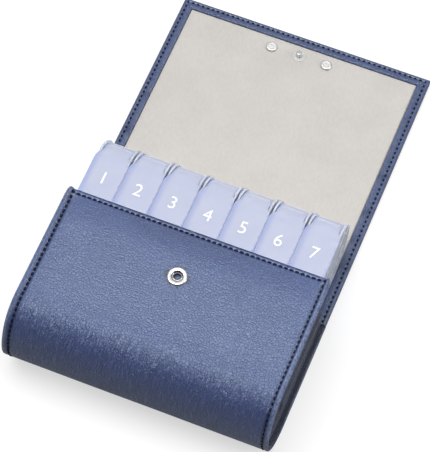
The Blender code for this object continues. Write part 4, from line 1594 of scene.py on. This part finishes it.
        # Painted shadow round the foot of the socket's ring.
        ring = hump(5.4 * MM, 0.45 * MM, np.hypot(along - self.socket_along, x))
        end = self.end_shade * ramp(self.hem_start + 11 * MM, self.hem_start, along)
        border = (self.border_shade + end) * ramp(*mm(7.0, 4.6), near) * flap
        back = self.back_shade * ramp(*mm(4, 1.8), near) * (1 - self.on_front(along)) * (1 - flap)
        # Painted shade near the mouth's middle, where the sinking panel loses its gloss.
        mouth = self.mouth_shade * ramp(*mm(17, 2), along) * hump(0.0, 42 * MM, x)
        marks = (self.plain_shade * plain, sides, ring, border, mouth, back)
        return np.max(np.broadcast_arrays(*marks), axis=0)

    def dulling(self, along: Array, x: Array) -> Array:
        """Mark: how much less glossy the leather is where the roll starts."""
        return self.roll_dulling * hump(self.wrap.front + 4 * MM, 6 * MM, along)

    def bend(self, along: Array, x: Array) -> Array:
        """Mark: how much the leather is stretched in the roll and at the folds.

        Args:
            along: distance from the mouth.
            x: isn't used; the mark is even across.

        Returns:
            The mark, from 0 to 1.
        """
        front, end = self.wrap.front, self.wrap.roll_end
        mark = ramp(front - 3 * MM, front + 19 * MM, along)
        mark = mark * ramp(end + 10 * MM, end - 10 * MM, along)
        for fold in self.folds:
            mark = np.maximum(mark, 0.8 * hump(fold.along, 3.5 * MM, along))
        return mark

    # Lining

    def lining_half(self, along: Array) -> Array:
        """Half width: as far as the side walls in the pocket, then between the flap's edges."""
        step = ramp(self.hem_start - 0.8 * MM, self.hem_start - 0.3 * MM, along)
        return self.sizes.pocket_half + (self.sizes.flap_half - self.sizes.pocket_half) * step

    def lining_free(self, along: Array, x: Array) -> Array:
        """Distance in the plan to the lining's nearest edge."""
        ends = np.minimum(along - self.sizes.lining_start, self.lining_stop - along)
        return np.clip(np.minimum(self.lining_half(along) - np.abs(x), ends), 0.0, None)

    def lining_outer(self, along: Array, x: Array) -> Array:
        """Depth of the face on the boards, with a rounded edge."""
        return self.sizes.lining_back + rounding(self.lining_free(along, x), 0.12 * MM)

    def lining_inner(self, along: Array, x: Array) -> Array:
        """Depth of the face that shows: a rounded, tucked edge, and slow waves away from it.

        Args:
            along, x: where.

        Returns:
            The depth.
        """
        a, b, c, d, e = self.lining_wave
        wave = np.sin(along / a + 0.6) * np.cos(x / b + along / c) + 0.6 * np.sin(x / d - along / e)
        free = self.lining_free(along, x)
        calm = self.lining_rise * ramp(*mm(0.5, 8), free)
        tuck = 0.12 * MM * hump(0.0, 1.2 * MM, free)
        return self.sizes.lining_top - rounding(free, 0.3 * MM) - tuck + wave * calm

    def lining_edge(self, along: Array, x: Array) -> Array:
        """Mark: nearness to the lining's edge."""
        return ramp(2.5 * MM, 0.0, self.lining_free(along, x))

    # Building

    def leather_places(self, stretch: Stretch) -> tuple[Array, Array]:
        """Places along one stretch of the leather and across it, close where its form changes.

        Args:
            stretch: which stretch.

        Returns:
            Distances along, and shares across.
        """
        fold, reach, stud, socket = (
            stretch.fold.along, self.sizes.fold_reach, self.stud_along, self.socket_along
        )
        edge = np.concatenate(
            (
                round_steps(1.7 * MM, 7),
                spaced(*mm(1.9, 5.5, 0.3)),
                mm(5.6, 5.75, 5.85, 5.95, 6.05, 6.15, 6.3, 6.6, 7.2, 8.2),
            )
        )
        along = between(
            stretch.start,
            stretch.end,
            spaced(stretch.start, stretch.end, 2.0 * MM),
            spaced(max(stretch.start, fold - reach), min(stretch.end, fold + reach), 0.7 * MM),
            edge,
            self.wrap.end - edge,
            self.hem_start + np.array(mm(-0.9, -0.3, 0.0, 0.1, 0.2, 0.3, 0.9)),
            spaced(socket - 3.6 * MM, socket + 3.6 * MM, 0.35 * MM),
            spaced(stud - 6.8 * MM, stud - 3.2 * MM, 0.4 * MM),
            spaced(stud + 3.2 * MM, stud + 6.8 * MM, 0.4 * MM),
        )
        runs = [spaced(*mm(*run)) for run in ((9, 70, 2.6), (48.2, 52.4, 0.4), (66.4, 70, 0.35))]
        return along, mirrored(stations(edge, *runs), self.sizes.half_width)

    def lining_places(self, stretch: Stretch) -> tuple[Array, Array]:
        """Places along one stretch of the lining and across it, close at its edges.

        Args:
            stretch: which stretch.

        Returns:
            Distances along, and shares across.
        """
        first, stop, reach = self.sizes.lining_start, self.lining_stop, self.sizes.fold_reach
        start, end = max(stretch.start, first), min(stretch.end, stop)
        fold, half = stretch.fold.along, self.sizes.flap_half
        near = np.concatenate((round_steps(0.3 * MM, 4), mm(0.6, 1.0, 1.6, 2.4, 3.4)))
        along = between(
            start,
            end,
            spaced(start, end, 2.2 * MM),
            spaced(max(start, fold - reach), min(end, fold + reach), 0.8 * MM),
            first + near,
            stop - near,
            self.hem_start + np.array(mm(-0.8, -0.65, -0.55, -0.45, -0.3)),
        )
        return along, mirrored(stations(near, spaced(4.5 * MM, half, 2.6 * MM)), half)

    def over_fold(self, piece: Object) -> None:
        """Bake a piece's transform into its mesh."""
        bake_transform(piece)

    def build_sheets(self, stretch: Stretch) -> None:
        """Build one stretch of the outer leather, with its turned edges, and of the lining.

        Args:
            stretch: which stretch.
        """
        palette, name = self.palette, stretch.name
        patches = self.leather.patches(*self.leather_places(stretch))
        leather = piece_from(name + "_outer_leather", patches, palette.leather, 40.0)
        self.over_fold(leather)
        stand_for(leather, Slot.LEATHER, *stretch.leather_nodes)
        patches = self.lining.patches(*self.lining_places(stretch))
        lining = piece_from(name + "_lining_cloth", patches, palette.lining, 40.0)
        self.over_fold(lining)
        stand_for(lining, Slot.LINING, *stretch.lining_nodes)

    def seam_runs(self) -> list[tuple[Face, Array, Array, tuple, tuple]]:
        """Where stitches lie: the mouth's seam, both sides to the flap, and the flap's border.

        Returns:
            For each run its face, its (along), its (x), its heading as (along, x), and half the
            length, width and height of its stitches.
        """
        half, hem, pitch = self.sizes.half_width, self.hem_start, self.pitch
        left, right, edge = (
            inset - half for inset in (self.left_stitch, self.right_stitch, self.flap_stitch)
        )
        stop, onward, across = self.wrap.end - self.flap_stitch, (1.0, 0.0), (0.0, 1.0)
        sides = spaced(self.top_stitch + pitch, hem - 1 * MM, pitch)
        border = spaced(hem + 2 * MM, stop, pitch)
        last = spaced(edge, -edge, pitch)[1:-1]
        runs = [
            (Face.OUTER, self.top_stitch, spaced(left, -right, pitch), across, self.thick_thread),
            (Face.OUTER, sides, left, onward, self.thick_thread),
            (Face.OUTER, sides, -right, onward, self.thin_thread),
        ]
        for face in Face:
            runs += [(face, border, x, onward, self.flap_thread) for x in (edge, -edge)]
            runs.append((face, stop, last, across, self.flap_thread))
        return [(face, *np.broadcast_arrays(along, x), *rest) for face, along, x, *rest in runs]

    def build_stitches(self, stretch: Stretch) -> None:
        """The stitches of one stretch: small bowed lozenges of thread sunk in their groove.

        A stitch's point (t, k) = middle + t L + cos(k) W w + (sin(k) H w + bow - fall t^2) up, with
        w = sqrt(1 - t^4) for a blunt spindle, and L, W and H half its length, width and height.

        Args:
            stretch: which stretch of the pouch.
        """
        t = np.array((-1.0, -0.86, -0.45, 0.0, 0.45, 0.86, 1.0))[:, None]
        turn = np.linspace(0.0, 2 * math.pi, 7)
        girth, bow = np.sqrt(1.0 - t**4), self.bow[0] - self.bow[1] * t**2
        patches = []
        for face, along, x, heading, (length, width, height) in self.seam_runs():
            inside = (along >= stretch.start) & (along < stretch.end)
            if not inside.any():
                continue
            here, ahead, up = self.leather.frames(face, along[inside], x[inside], heading)
            wide, high = girth * np.cos(turn) * width, girth * np.sin(turn) * height + bow
            form, plan = together(t * length, wide, high), together(t * length, turn * width)
            axes = np.stack((ahead, np.cross(ahead, up), up), axis=1)
            patches += [Patch(middle + form @ way, plan) for middle, way in zip(here, axes)]
        piece = piece_from(stretch.name + "_stitches", patches, self.palette.thread, 80.0)
        self.over_fold(piece)
        log.info("%s: %d stitches", piece.name, len(patches))

    def build(self) -> None:
        """Build every stretch, and finish the boards inside the panels, which stay as they are."""
        for stretch in self.stretches:
            self.build_sheets(stretch)
            self.build_stitches(stretch)
        for name, node in frame["nodes"].items():
            if name.endswith("_board"):
                dress(node, self.palette.board)


@dataclass
class Gusset:
    """One folded side wall: a flange under the leather all round, and a wall with a sharp ridge.

    Attributes:
        name, sign: the wall's node and the side that it is on.
        palette, wrap: its finishes and the pouch's line.
        rim: distance of the flange from the spine line.
        flange_x, wall_x, ridge_x: how far out the flange, the wall's foot and its ridge reach.
        skin, corner: the leather's thickness, and the radius where flange and wall meet.
        dip: how far the mouth sinks towards the ridge.
        pleat, pleat_depth, ripple: distance of the pleats, their depth, and that of slow ripples.
    """

    name: str
    sign: float
    palette: Palette
    wrap: Wrap
    rim: float = 21.3 * MM
    flange_x: float = 69.55 * MM
    wall_x: float = 66.7 * MM
    ridge_x: float = 68.55 * MM
    skin: float = 0.85 * MM
    corner: float = 0.9 * MM
    dip: float = 7.0 * MM
    pleat: float = 4.4 * MM
    pleat_depth: float = 0.42 * MM
    ripple: float = 0.12 * MM

    def folds(self, q: Array) -> Array:
        """The pleats' wave at a distance from the spine line."""
        return np.sin(q / self.pleat * 2 * math.pi)

    def section(self) -> tuple[Array, Array]:
        """The wall's half section, from the flange's edge to the ridge.

        Returns:
            Distance from the spine line, and x.
        """
        foot, turn = self.wall_x + self.corner, np.linspace(0.0, math.pi / 2, 6)[1:]
        flange = spaced(self.flange_x, foot, 0.6 * MM)
        share = np.linspace(0.0, 1.0, 37)[1:]
        wall = (self.rim - self.corner) * (1.0 - share)
        rise = 0.75 * share**1.8 + 0.25 * ramp(0.8, 1.0, share)
        pleats = self.folds(wall) * ramp(0.0, 0.12, share) * ramp(1.0, 0.9, share)
        side = self.wall_x + (self.ridge_x - self.wall_x) * rise + self.pleat_depth * pleats
        bend = self.rim - self.corner + self.corner * np.cos(turn)
        q = np.concatenate((np.full(len(flange), self.rim), bend, wall))
        return q, np.concatenate((flange, foot - self.corner * np.sin(turn), side))

    def build(self) -> None:
        """Carry the section round the pouch's side: front, roll and back.

        On the straight parts y runs from the mouth, which dips towards the ridge, to the roll's
        centre and z = R +- q. On the roll (y, z) = centre + q (-sin t, cos t).
        """
        (q, x), centre = self.section(), self.wrap.radius
        inner = 1.0 - q / self.rim
        mouth = self.wrap.sizes.gusset_mouth - self.dip * inner
        share = np.linspace(0.0, 1.0, 26)[:-1, None]
        turn = np.linspace(0.0, math.pi, 40)[:, None]
        straight_x = x + self.ripple * np.sin(share * 9.0 + 0.7) * inner * (1 - share)
        straight_y = mouth + (centre - mouth) * share
        front, back = (together(straight_x, straight_y, centre + side * q) for side in (1, -1))
        roll = together(x, centre - q * np.sin(turn), centre + q * np.cos(turn))
        points = np.concatenate((front, roll, back[::-1])) * (self.sign, 1.0, 1.0)
        # Marks: lighter along the ridge and the flange's edge, creases all over, and painted shade in
        # the pleats' valleys.
        ridge = np.maximum(ramp(1.4 * MM, 0.0, q), ramp(0.7 * MM, 0.0, self.flange_x - x))
        valley = 0.5 - 0.5 * self.folds(q)
        marks = {EDGE: ridge, BEND: np.maximum(ridge * 0.6, 0.55), PAINTED_SHADE: 0.65 * valley}
        patch = Patch(points + (0.0, self.wrap.shift, 0.0), marks=marks)
        piece = piece_from(self.name + "_fold", [patch], self.palette.gusset)
        wall = piece.modifiers.new("skin", "SOLIDIFY")
        wall.thickness = self.skin
        wall.offset = 0.0
        wall.use_even_offset = True
        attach(piece, "pouch")
        stand_for(piece, Slot.GUSSET, self.name)


@dataclass
class Fittings:
    """The press stud, the rivet caps and the plain plate. Profiles are in millimetres."""

    palette: Palette
    wrap: Wrap
    rivet_x: float = 15.5 * MM
    spring_radius: float = 2.35
    spring_height: float = 47.8
    wire: float = 0.25
    plate: tuple = (21.0, 6.0)
    plate_corner: float = 2.5
    plate_top: tuple = (0.08, 0.6)
    plate_soft: float = 0.2

    def __post_init__(self) -> None:
        """Where the socket and the stud stand."""
        self.socket_y = self.wrap.sizes.socket + self.wrap.shift
        self.stud_y = self.wrap.sizes.stud + self.wrap.shift

    def build_socket(self) -> None:
        """Ring with a rolled rim, the spring's wire inside it, and a darker nickel on the socket's
        sleeve, painted shade in its hole.
        """
        low, high, y = 46.95, 48.3, self.socket_y
        inside = [(2.9, high - 0.3), (2.9, low)]
        ring = [(2.9, low), (5.0, low), (5.0, high - 0.3), (4.55, high), (3.1, high - 0.08)]
        patches = [lathed(softened(ring + inside, 0.32), 0.0, y)]
        ring = piece_from("socket_ring_rolled", patches, self.palette.nickel)
        share = np.linspace(0.0, 1.0, 60)[:, None]
        angle, side = math.radians(150) + share * math.radians(240), around(12)
        wire = self.wire * np.sqrt(np.clip(1.0 - np.abs(2 * share - 1) ** 40, 0.0, 1.0))
        radius = self.spring_radius + wire * np.cos(side)
        height = self.spring_height + wire * np.sin(side)
        points = together(radius * np.cos(angle), radius * np.sin(angle), height) * MM
        patches = [Patch(points + (0.0, y, 0.0), closed=True)]
        spring = piece_from("socket_spring_wire", patches, self.palette.nickel)
        for piece, node in ((ring, "socket_ring"), (spring, "socket_spring")):
            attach(piece, "pouch")
            stand_for(piece, Slot.NICKEL, node)
        # Painted shade: the socket's sleeve gets the darker nickel.
        dress(frame["nodes"]["socket_eyelet"], self.palette.eyelet)

    def stud(self) -> tuple[Patch, Patch]:
        """The pin with its waist and domed head, and the pale washer that it stands in.

        Returns:
            The two surfaces.
        """
        top, base, waist = self.wrap.sizes.face / MM + 3.6, 1.7, 1.1
        throat = top - 1.8
        pin = [(0.0, base), (4.0, base), (4.0, base + 0.8), (1.35, base + 0.8)]
        pin += [(waist, base + 1.3), (waist, throat)]
        for t in np.linspace(0.15, math.pi, 12):
            pin.append((waist + 0.5 * math.sin(t), throat + 0.9 * (1 - math.cos(t))))
        pin += [(0.75, top), (0.0, top)]
        low, high, bore = 2.8, 3.62, 1.25
        washer = [(bore, low), (3.3, low), (3.3, high - 0.25), (2.9, high), (1.9, high - 0.05)]
        washer += [(bore, high + 0.25), (bore, low)]
        return lathed(pin, 0.0, self.stud_y), lathed(softened(washer, 0.25), 0.0, self.stud_y)

    def rivet(self, x: float) -> Patch:
        """A pressed cap: a nearly flat top with a rolled rim."""
        cap = [(0.0, 3.3), (2.7, 3.15), (3.0, 3.2), (3.0, 3.9), (2.6, 4.35), (1.9, 4.4)]
        cap += [(1.5, 4.34), (0.0, 4.44)]
        return lathed(softened(cap, 0.25), x, self.stud_y, 56)

    def plate_patches(self) -> list[Patch]:
        """The plain plate outside: a rounded rectangle with softened edges, on its two posts.

        Each ring is the rounded rectangle's outline offset inwards by r (1 - cos t) at height
        r (1 - sin t) above the outside, so the edge is a quarter round.

        Returns:
            Its side, its two faces and its posts.
        """
        (half_x, half_y), corner, (low, high) = self.plate, self.plate_corner, self.plate_top
        way = together(np.cos(around(96)), np.sin(around(96)))
        core = np.sign(way) * (half_x - corner, half_y - corner)
        t = np.linspace(math.pi / 2, 0.0, 6)
        reach = np.append(corner - self.plate_soft * (1 - np.cos(t)), corner)[:, None, None]
        height = np.append(low + self.plate_soft * (1 - np.sin(t)), high)[:, None]
        outline = core + way * reach
        side = together(outline[..., 0], outline[..., 1], height)
        grids, inner = [side], half_x - half_y
        for ring in (side[0], side[-1]):
            middle = together(np.clip(ring[:, 0], -inner, inner), 0.0, ring[:, 2])
            grids.append(np.stack((ring, middle)))
        patches = [Patch(points * MM + (0.0, self.stud_y, 0.0), closed=True) for points in grids]
        post = [(0.0, 0.5), (0.9, 0.5), (0.9, 3.4), (0.0, 3.4)]
        return patches + [lathed(post, x, self.stud_y, 24) for x in (-self.rivet_x, self.rivet_x)]

    def build(self) -> None:
        """Build every fitting."""
        self.build_socket()
        (pin, washer), palette = self.stud(), self.palette
        left, right = self.rivet(-self.rivet_x), self.rivet(self.rivet_x)
        for name, patches, material, slot, node in (
            ("stud_pin_turned", [pin], palette.nickel, Slot.NICKEL, "stud_pin"),
            ("stud_washer", [washer], palette.nylon, Slot.NYLON, "stud_base"),
            ("rivet_cap_left_pressed", [left], palette.cap, Slot.NICKEL, "rivet_cap_left"),
            ("rivet_cap_right_pressed", [right], palette.cap, Slot.NICKEL, "rivet_cap_right"),
            ("flap_plate_brushed", self.plate_patches(), palette.plate, Slot.NICKEL, "flap_plate"),
        ):
            piece = piece_from(name, patches, material)
            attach(piece, "flap_front")
            stand_for(piece, slot, node)


@dataclass
class LidLine:
    """The lid's line: flat over the box, then curved down over its end."""

    shift: float
    start: float = 24.0 * MM
    end_centre: float = 106.2 * MM
    centre_z: float = 23.5 * MM
    radius: float = 19.8 * MM
    drop: float = 1.1 * MM
    drop_angle: float = math.radians(40)
    scale: float = 19.3 * MM

    def place(self, along: Array, depth: Array) -> tuple[Array, Array]:
        """Flat first, then an arc whose radius sinks smoothly.

        Past the flat part, t = (along - flat) / scale, r = radius - drop * smooth step of t over
        the drop angle - depth, and (y, z) = centre + r (sin t, cos t).

        Args:
            along: distance from the lid's front edge.
            depth: distance below its face.

        Returns:
            y and z in the model's frame.
        """
        flat = self.end_centre - self.start
        turn = np.clip((along - flat) / self.scale, 0.0, None)
        inner = self.radius - self.drop * ramp(0.0, self.drop_angle, turn) - depth
        y = np.where(along < flat, self.start + along, self.end_centre + inner * np.sin(turn))
        return y + self.shift, self.centre_z + inner * np.cos(turn)


@dataclass
class Boxes:
    """Seven clear trays, each with a frosted lid and its number.

    Attributes:
        palette, shift: the finishes, and where the pouch's rounded bottom lies.
        count, pitch: how many boxes stand side by side, and how far apart.
        half, end_half: a lid's half width, over the box and past its end.
        thick, under: a lid's thickness, and the height of the box's rim.
        corner, soft: length of the narrowing, and radius of the edges.
        nose_turn, end_turn, rib_turn: angles at which the narrowing, the lid and its rib lie.
        rib, rib_width, rib_ends: the rib's height and width, and where it fades out across.
        rail, rail_middle: the right hook's outline, and its ends' closing x and heights, in mm.
        rail_ends: where the rails start and end.
        number_y, number_z, number_size, number_rise: place, size and thickness of a number.
        tray_edge: radius of the trays' edges.
    """

    palette: Palette
    shift: float
    count: int = 7
    pitch: float = 18.7 * MM
    half: float = 9.34 * MM
    end_half: float = 7.45 * MM
    thick: float = 1.3 * MM
    under: float = 42.0 * MM
    corner: float = 5.5 * MM
    soft: float = 0.32 * MM
    nose_turn: float = math.radians(16.6)
    end_turn: float = math.radians(78)
    rib_turn: float = math.radians(40)
    rib: float = 0.5 * MM
    rib_width: float = 0.75 * MM
    rib_ends: tuple = mm(6.4, 5.4)
    rail: tuple = ((5.9, 42.3), (5.9, 39.5), (7.5, 39.5), (7.5, 40.5), (6.7, 40.5), (6.7, 42.3))
    rail_middle: tuple = (6.3, (42.3, 40.0, 40.0, 40.0, 40.5, 42.3))
    rail_ends: tuple = mm(25.0, 105.2)
    number_y: float = 96.4 * MM
    number_z: float = 43.3 * MM
    number_size: float = 9.8 * MM
    number_rise: float = 0.03 * MM
    tray_edge: float = 0.14 * MM

    def __post_init__(self) -> None:
        """Set out the lid's line and its sheet."""
        self.line = LidLine(self.shift)
        self.flat = self.line.end_centre - self.line.start
        self.nose, self.length, self.rib_along = (
            self.flat + turn * self.line.scale
            for turn in (self.nose_turn, self.end_turn, self.rib_turn)
        )
        marks = {EDGE: self.lid_mark}
        self.sheet = Sheet(self.line, self.lid_half, self.lid_outer, self.lid_inner, marks)

    def lid_half(self, along: Array) -> Array:
        """Half width: full, then a quarter ellipse down to the narrow end."""
        share = np.clip((along - (self.nose - self.corner)) / self.corner, 0.0, 1.0)
        return self.end_half + (self.half - self.end_half) * np.sqrt(1.0 - share**2)

    def lid_free(self, along: Array, x: Array) -> Array:
        """Distance in the plan to the lid's nearest edge."""
        ends = np.minimum(along, self.length - along)
        return np.clip(np.minimum(self.lid_half(along) - np.abs(x), ends), 0.0, None)

    def lid_thickness(self, along: Array, x: Array) -> Array:
        """Full thickness, less at the wings, whose underside stays level with the box's rim.

        Args:
            along, x: where.

        Returns:
            The thickness.
        """
        _, top = self.line.place(along, np.zeros_like(along))
        wing = np.clip(top - self.under, 0.15 * MM, self.thick)
        outside = ramp(self.end_half - 0.25 * MM, self.end_half - 0.05 * MM, np.abs(x))
        before = ramp(self.nose + 0.05 * MM, self.nose - 0.05 * MM, along)
        return self.thick + (wing - self.thick) * outside * before

    def lid_outer(self, along: Array, x: Array) -> Array:
        """Depth of the top face: soft edges and, on the curve, a raised rib for the thumb."""
        radius = np.minimum(self.soft, 0.45 * self.lid_thickness(along, x))
        rib = hump(self.rib_along, self.rib_width, along) * ramp(*self.rib_ends, np.abs(x))
        return rounding(self.lid_free(along, x), radius) - self.rib * rib

    def lid_inner(self, along: Array, x: Array) -> Array:
        """Depth of the under face."""
        thick = self.lid_thickness(along, x)
        return thick - rounding(self.lid_free(along, x), np.minimum(0.15 * MM, 0.3 * thick))

    def lid_mark(self, along: Array, x: Array) -> Array:
        """Mark: nearness to the lid's edge."""
        return ramp(*mm(1.3, 0.4), self.lid_free(along, x))

    def lid_places(self) -> tuple[Array, Array]:
        """Places along and across the lid, close where its form changes.

        Returns:
            Distances along, and shares across.
        """
        rim, end = round_steps(self.soft, 5), self.length
        along = stations(
            rim,
            end - rim,
            spaced(0.5 * MM, self.flat, 3.5 * MM),
            spaced(self.flat, end - 0.5 * MM, 1.0 * MM),
            spaced(self.rib_along - 2 * MM, self.rib_along + 2 * MM, 0.3 * MM),
            self.nose - self.corner + self.corner * np.sin(np.linspace(0.0, math.pi / 2, 12)),
            self.nose + np.array(mm(-0.05, 0.05)),
        )
        near = mm(0.55, 0.75, 1.1, 1.25, 1.35, 1.5, 1.7)
        side = stations(rim, near, spaced(2.3 * MM, self.half, 0.9 * MM))
        return along, mirrored(side, self.half)

    def rails(self) -> list[Patch]:
        """The two hooked rails under the lid: an L carried along the box, closed at its ends.

        Returns:
            One patch for each.
        """
        outline, middle = np.array(self.rail) * MM, together(*self.rail_middle) * MM
        first, last = self.rail_ends
        ends = ((middle, first), (outline, first), (outline, last), (middle, last))
        rows = np.stack([together(ring[:, 0], y + self.shift, ring[:, 1]) for ring, y in ends])
        return [Patch(rows * (sign, 1.0, 1.0), closed=True) for sign in (-1.0, 1.0)]

    def build_lid(self, number: int, x: float) -> None:
        """One lid with its rails.

        Args:
            number: which box.
            x: where its middle lies.
        """
        patches = self.sheet.patches(*self.lid_places()) + self.rails()
        for patch in patches:
            patch.points = patch.points + (x, 0.0, 0.0)
        piece = piece_from("lid_%d_frosted" % number, patches, self.palette.lid)
        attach(piece, "cover_%d" % number)
        stand_for(piece, Slot.LID, "lid_%d" % number)

    def build_number(self, number: int, x: float) -> None:
        """The lid's number: plain white ink, a little proud of the lid.

        Args:
            number: which box.
            x: where its middle lies.
        """
        name = "number_%d" % number
        curve = bpy.data.curves.new(name, "FONT")
        curve.body, curve.size, curve.extrude = str(number), self.number_size, self.number_rise
        curve.align_x = curve.align_y = "CENTER"
        curve.resolution_u = 6
        letter = linked(name + "_text", curve)
        bpy.context.view_layer.update()
        shown = letter.evaluated_get(bpy.context.evaluated_depsgraph_get())
        mesh = bpy.data.meshes.new_from_object(shown)
        bpy.data.objects.remove(letter, do_unlink=True)
        bpy.data.curves.remove(curve)
        place = Vector((x, self.number_y + self.shift, self.number_z))
        mesh.transform(Matrix.Translation(place))
        clean(mesh, 0.001 * MM)
        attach(dress(linked(name, mesh), self.palette.ink), "cover_%d" % number)

    def build_tray(self, number: int) -> None:
        """The tray: a merged copy of its solid, whose edges are softened.

        Args:
            number: which box.
        """
        mesh = frame["nodes"]["tray_%d" % number].data.copy()
        clean(mesh, 0.005 * MM, sharp=30.0, flat=0.5)
        piece = dress(linked("tray_%d_clear" % number, mesh), self.palette.tray)
        edge = piece.modifiers.new("soft_edges", "BEVEL")
        edge.width, edge.segments = self.tray_edge, 2
        edge.limit_method, edge.angle_limit = "ANGLE", math.radians(40)
        edge.use_clamp_overlap = edge.harden_normals = True
        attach(piece, "box_%d" % number)
        stand_for(piece, Slot.TRAY, "tray_%d" % number)

    def build(self) -> None:
        """Build every box."""
        for number in range(1, self.count + 1):
            x = (number - (self.count + 1) / 2) * self.pitch
            self.build_tray(number)
            self.build_lid(number, x)
            self.build_number(number, x)


@dataclass
class Studio:
    """Floor, light and camera.

    Attributes:
        camera_at, camera_turn, lens, film: the camera's place, angles, focal length and film width.
        floor_half, floor_z: half the floor's size, and its height.
        lamps: name, place, size and power of the broad lamp behind and of the one that fills in.
        lamp_aim: where the lamps point.
        bright_way: the sky's bright direction.
        sky_step, sky_range: how far towards it the sky starts and ends to brighten, and from
            which strength to which.
    """

    camera_at: tuple = (0.2248, -0.5660, 1.1122)
    camera_turn: tuple = (28.6, 0.0, 22.1)
    lens: float = 197.0
    film: float = 36.0
    floor_half: float = 6.0
    floor_z: float = -0.0002
    lamps: tuple = (
        ("key", (-0.29, -0.07, 1.45), (1.1, 1.68), 20.5),
        ("fill", (0.8, 0.12, 0.5), (0.5, 0.5), 3.0),
    )
    lamp_aim: tuple = (0.0, 0.0, 0.02)
    bright_way: tuple = (-0.15, 0.75, 0.65)
    sky_step: tuple = (-0.2, 1.0)
    sky_range: tuple = (0.08, 0.6)

    def build_camera(self) -> None:
        """The camera, where the photograph was taken from."""
        data = bpy.data.cameras.new("camera")
        data.lens, data.sensor_width = self.lens, self.film
        data.clip_start, data.clip_end = 0.05, 50.0
        camera = linked("camera", data)
        camera.location = self.camera_at
        camera.rotation_euler = [math.radians(angle) for angle in self.camera_turn]
        bpy.context.scene.camera = camera

    def build_floor(self) -> None:
        """A plain pale floor that keeps the object's shadow."""
        corners = ((-1, -1), (1, -1), (1, 1), (-1, 1))
        points = [(x * self.floor_half, y * self.floor_half, self.floor_z) for x, y in corners]
        mesh = bpy.data.meshes.new("floor")
        mesh.from_pydata(points, [], [(0, 1, 2, 3)])
        dress(linked("floor", mesh), Floor().build())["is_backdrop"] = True

    def build_lamps(self) -> None:
        """The lamps, each turned towards the object."""
        for name, place, (width, length), power in self.lamps:
            data = bpy.data.lights.new(name, "AREA")
            data.shape, data.size, data.size_y, data.energy = "RECTANGLE", width, length, power
            lamp = linked(name, data)
            lamp.location = place
            way = Vector(self.lamp_aim) - Vector(place)
            lamp.rotation_euler = way.to_track_quat("-Z", "Y").to_euler()

    def build_sky(self) -> None:
        """A soft sky, brighter on one side, and white where the camera sees it."""
        world = bpy.data.worlds.new("sky")
        world.use_nodes = True
        graph = Graph(world.node_tree)
        inputs = {0: graph.node("ShaderNodeTexCoord").outputs["Generated"], 1: self.bright_way}
        towards = graph.add("ShaderNodeVectorMath", inputs, 1, operation="DOT_PRODUCT")
        seen = graph.node("ShaderNodeLightPath").outputs["Is Camera Ray"]
        sky = graph.span(towards, *self.sky_step, self.sky_range)
        strength = graph.math("MAXIMUM", sky, seen)
        background = world.node_tree.nodes["Background"]
        graph.fill(background, {"Strength": strength, "Color": WHITE})
        bpy.context.scene.world = world

    def build(self) -> None:
        """Set the studio up."""
        self.build_camera()
        self.build_floor()
        self.build_lamps()
        self.build_sky()
        bpy.context.scene.view_settings.view_transform = "Standard"


def corners() -> list[list[float]]:
    """The shown object's lowest and highest corner, as plain lists."""
    low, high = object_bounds()
    return [[float(part) for part in low], [float(part) for part in high]]


def main() -> None:
    """Dress the organiser, piece by piece."""
    logging.basicConfig(level=logging.INFO, format="%(message)s")
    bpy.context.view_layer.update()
    palette = Palette()
    pouch = Pouch(palette)
    pouch.build()
    for name, sign in (("gusset_left", -1.0), ("gusset_right", 1.0)):
        Gusset(name, sign, palette, pouch.wrap).build()
    Fittings(palette, pouch.wrap).build()
    Boxes(palette, pouch.wrap.shift).build()
    Studio().build()


if __name__ == "__main__":
    main()
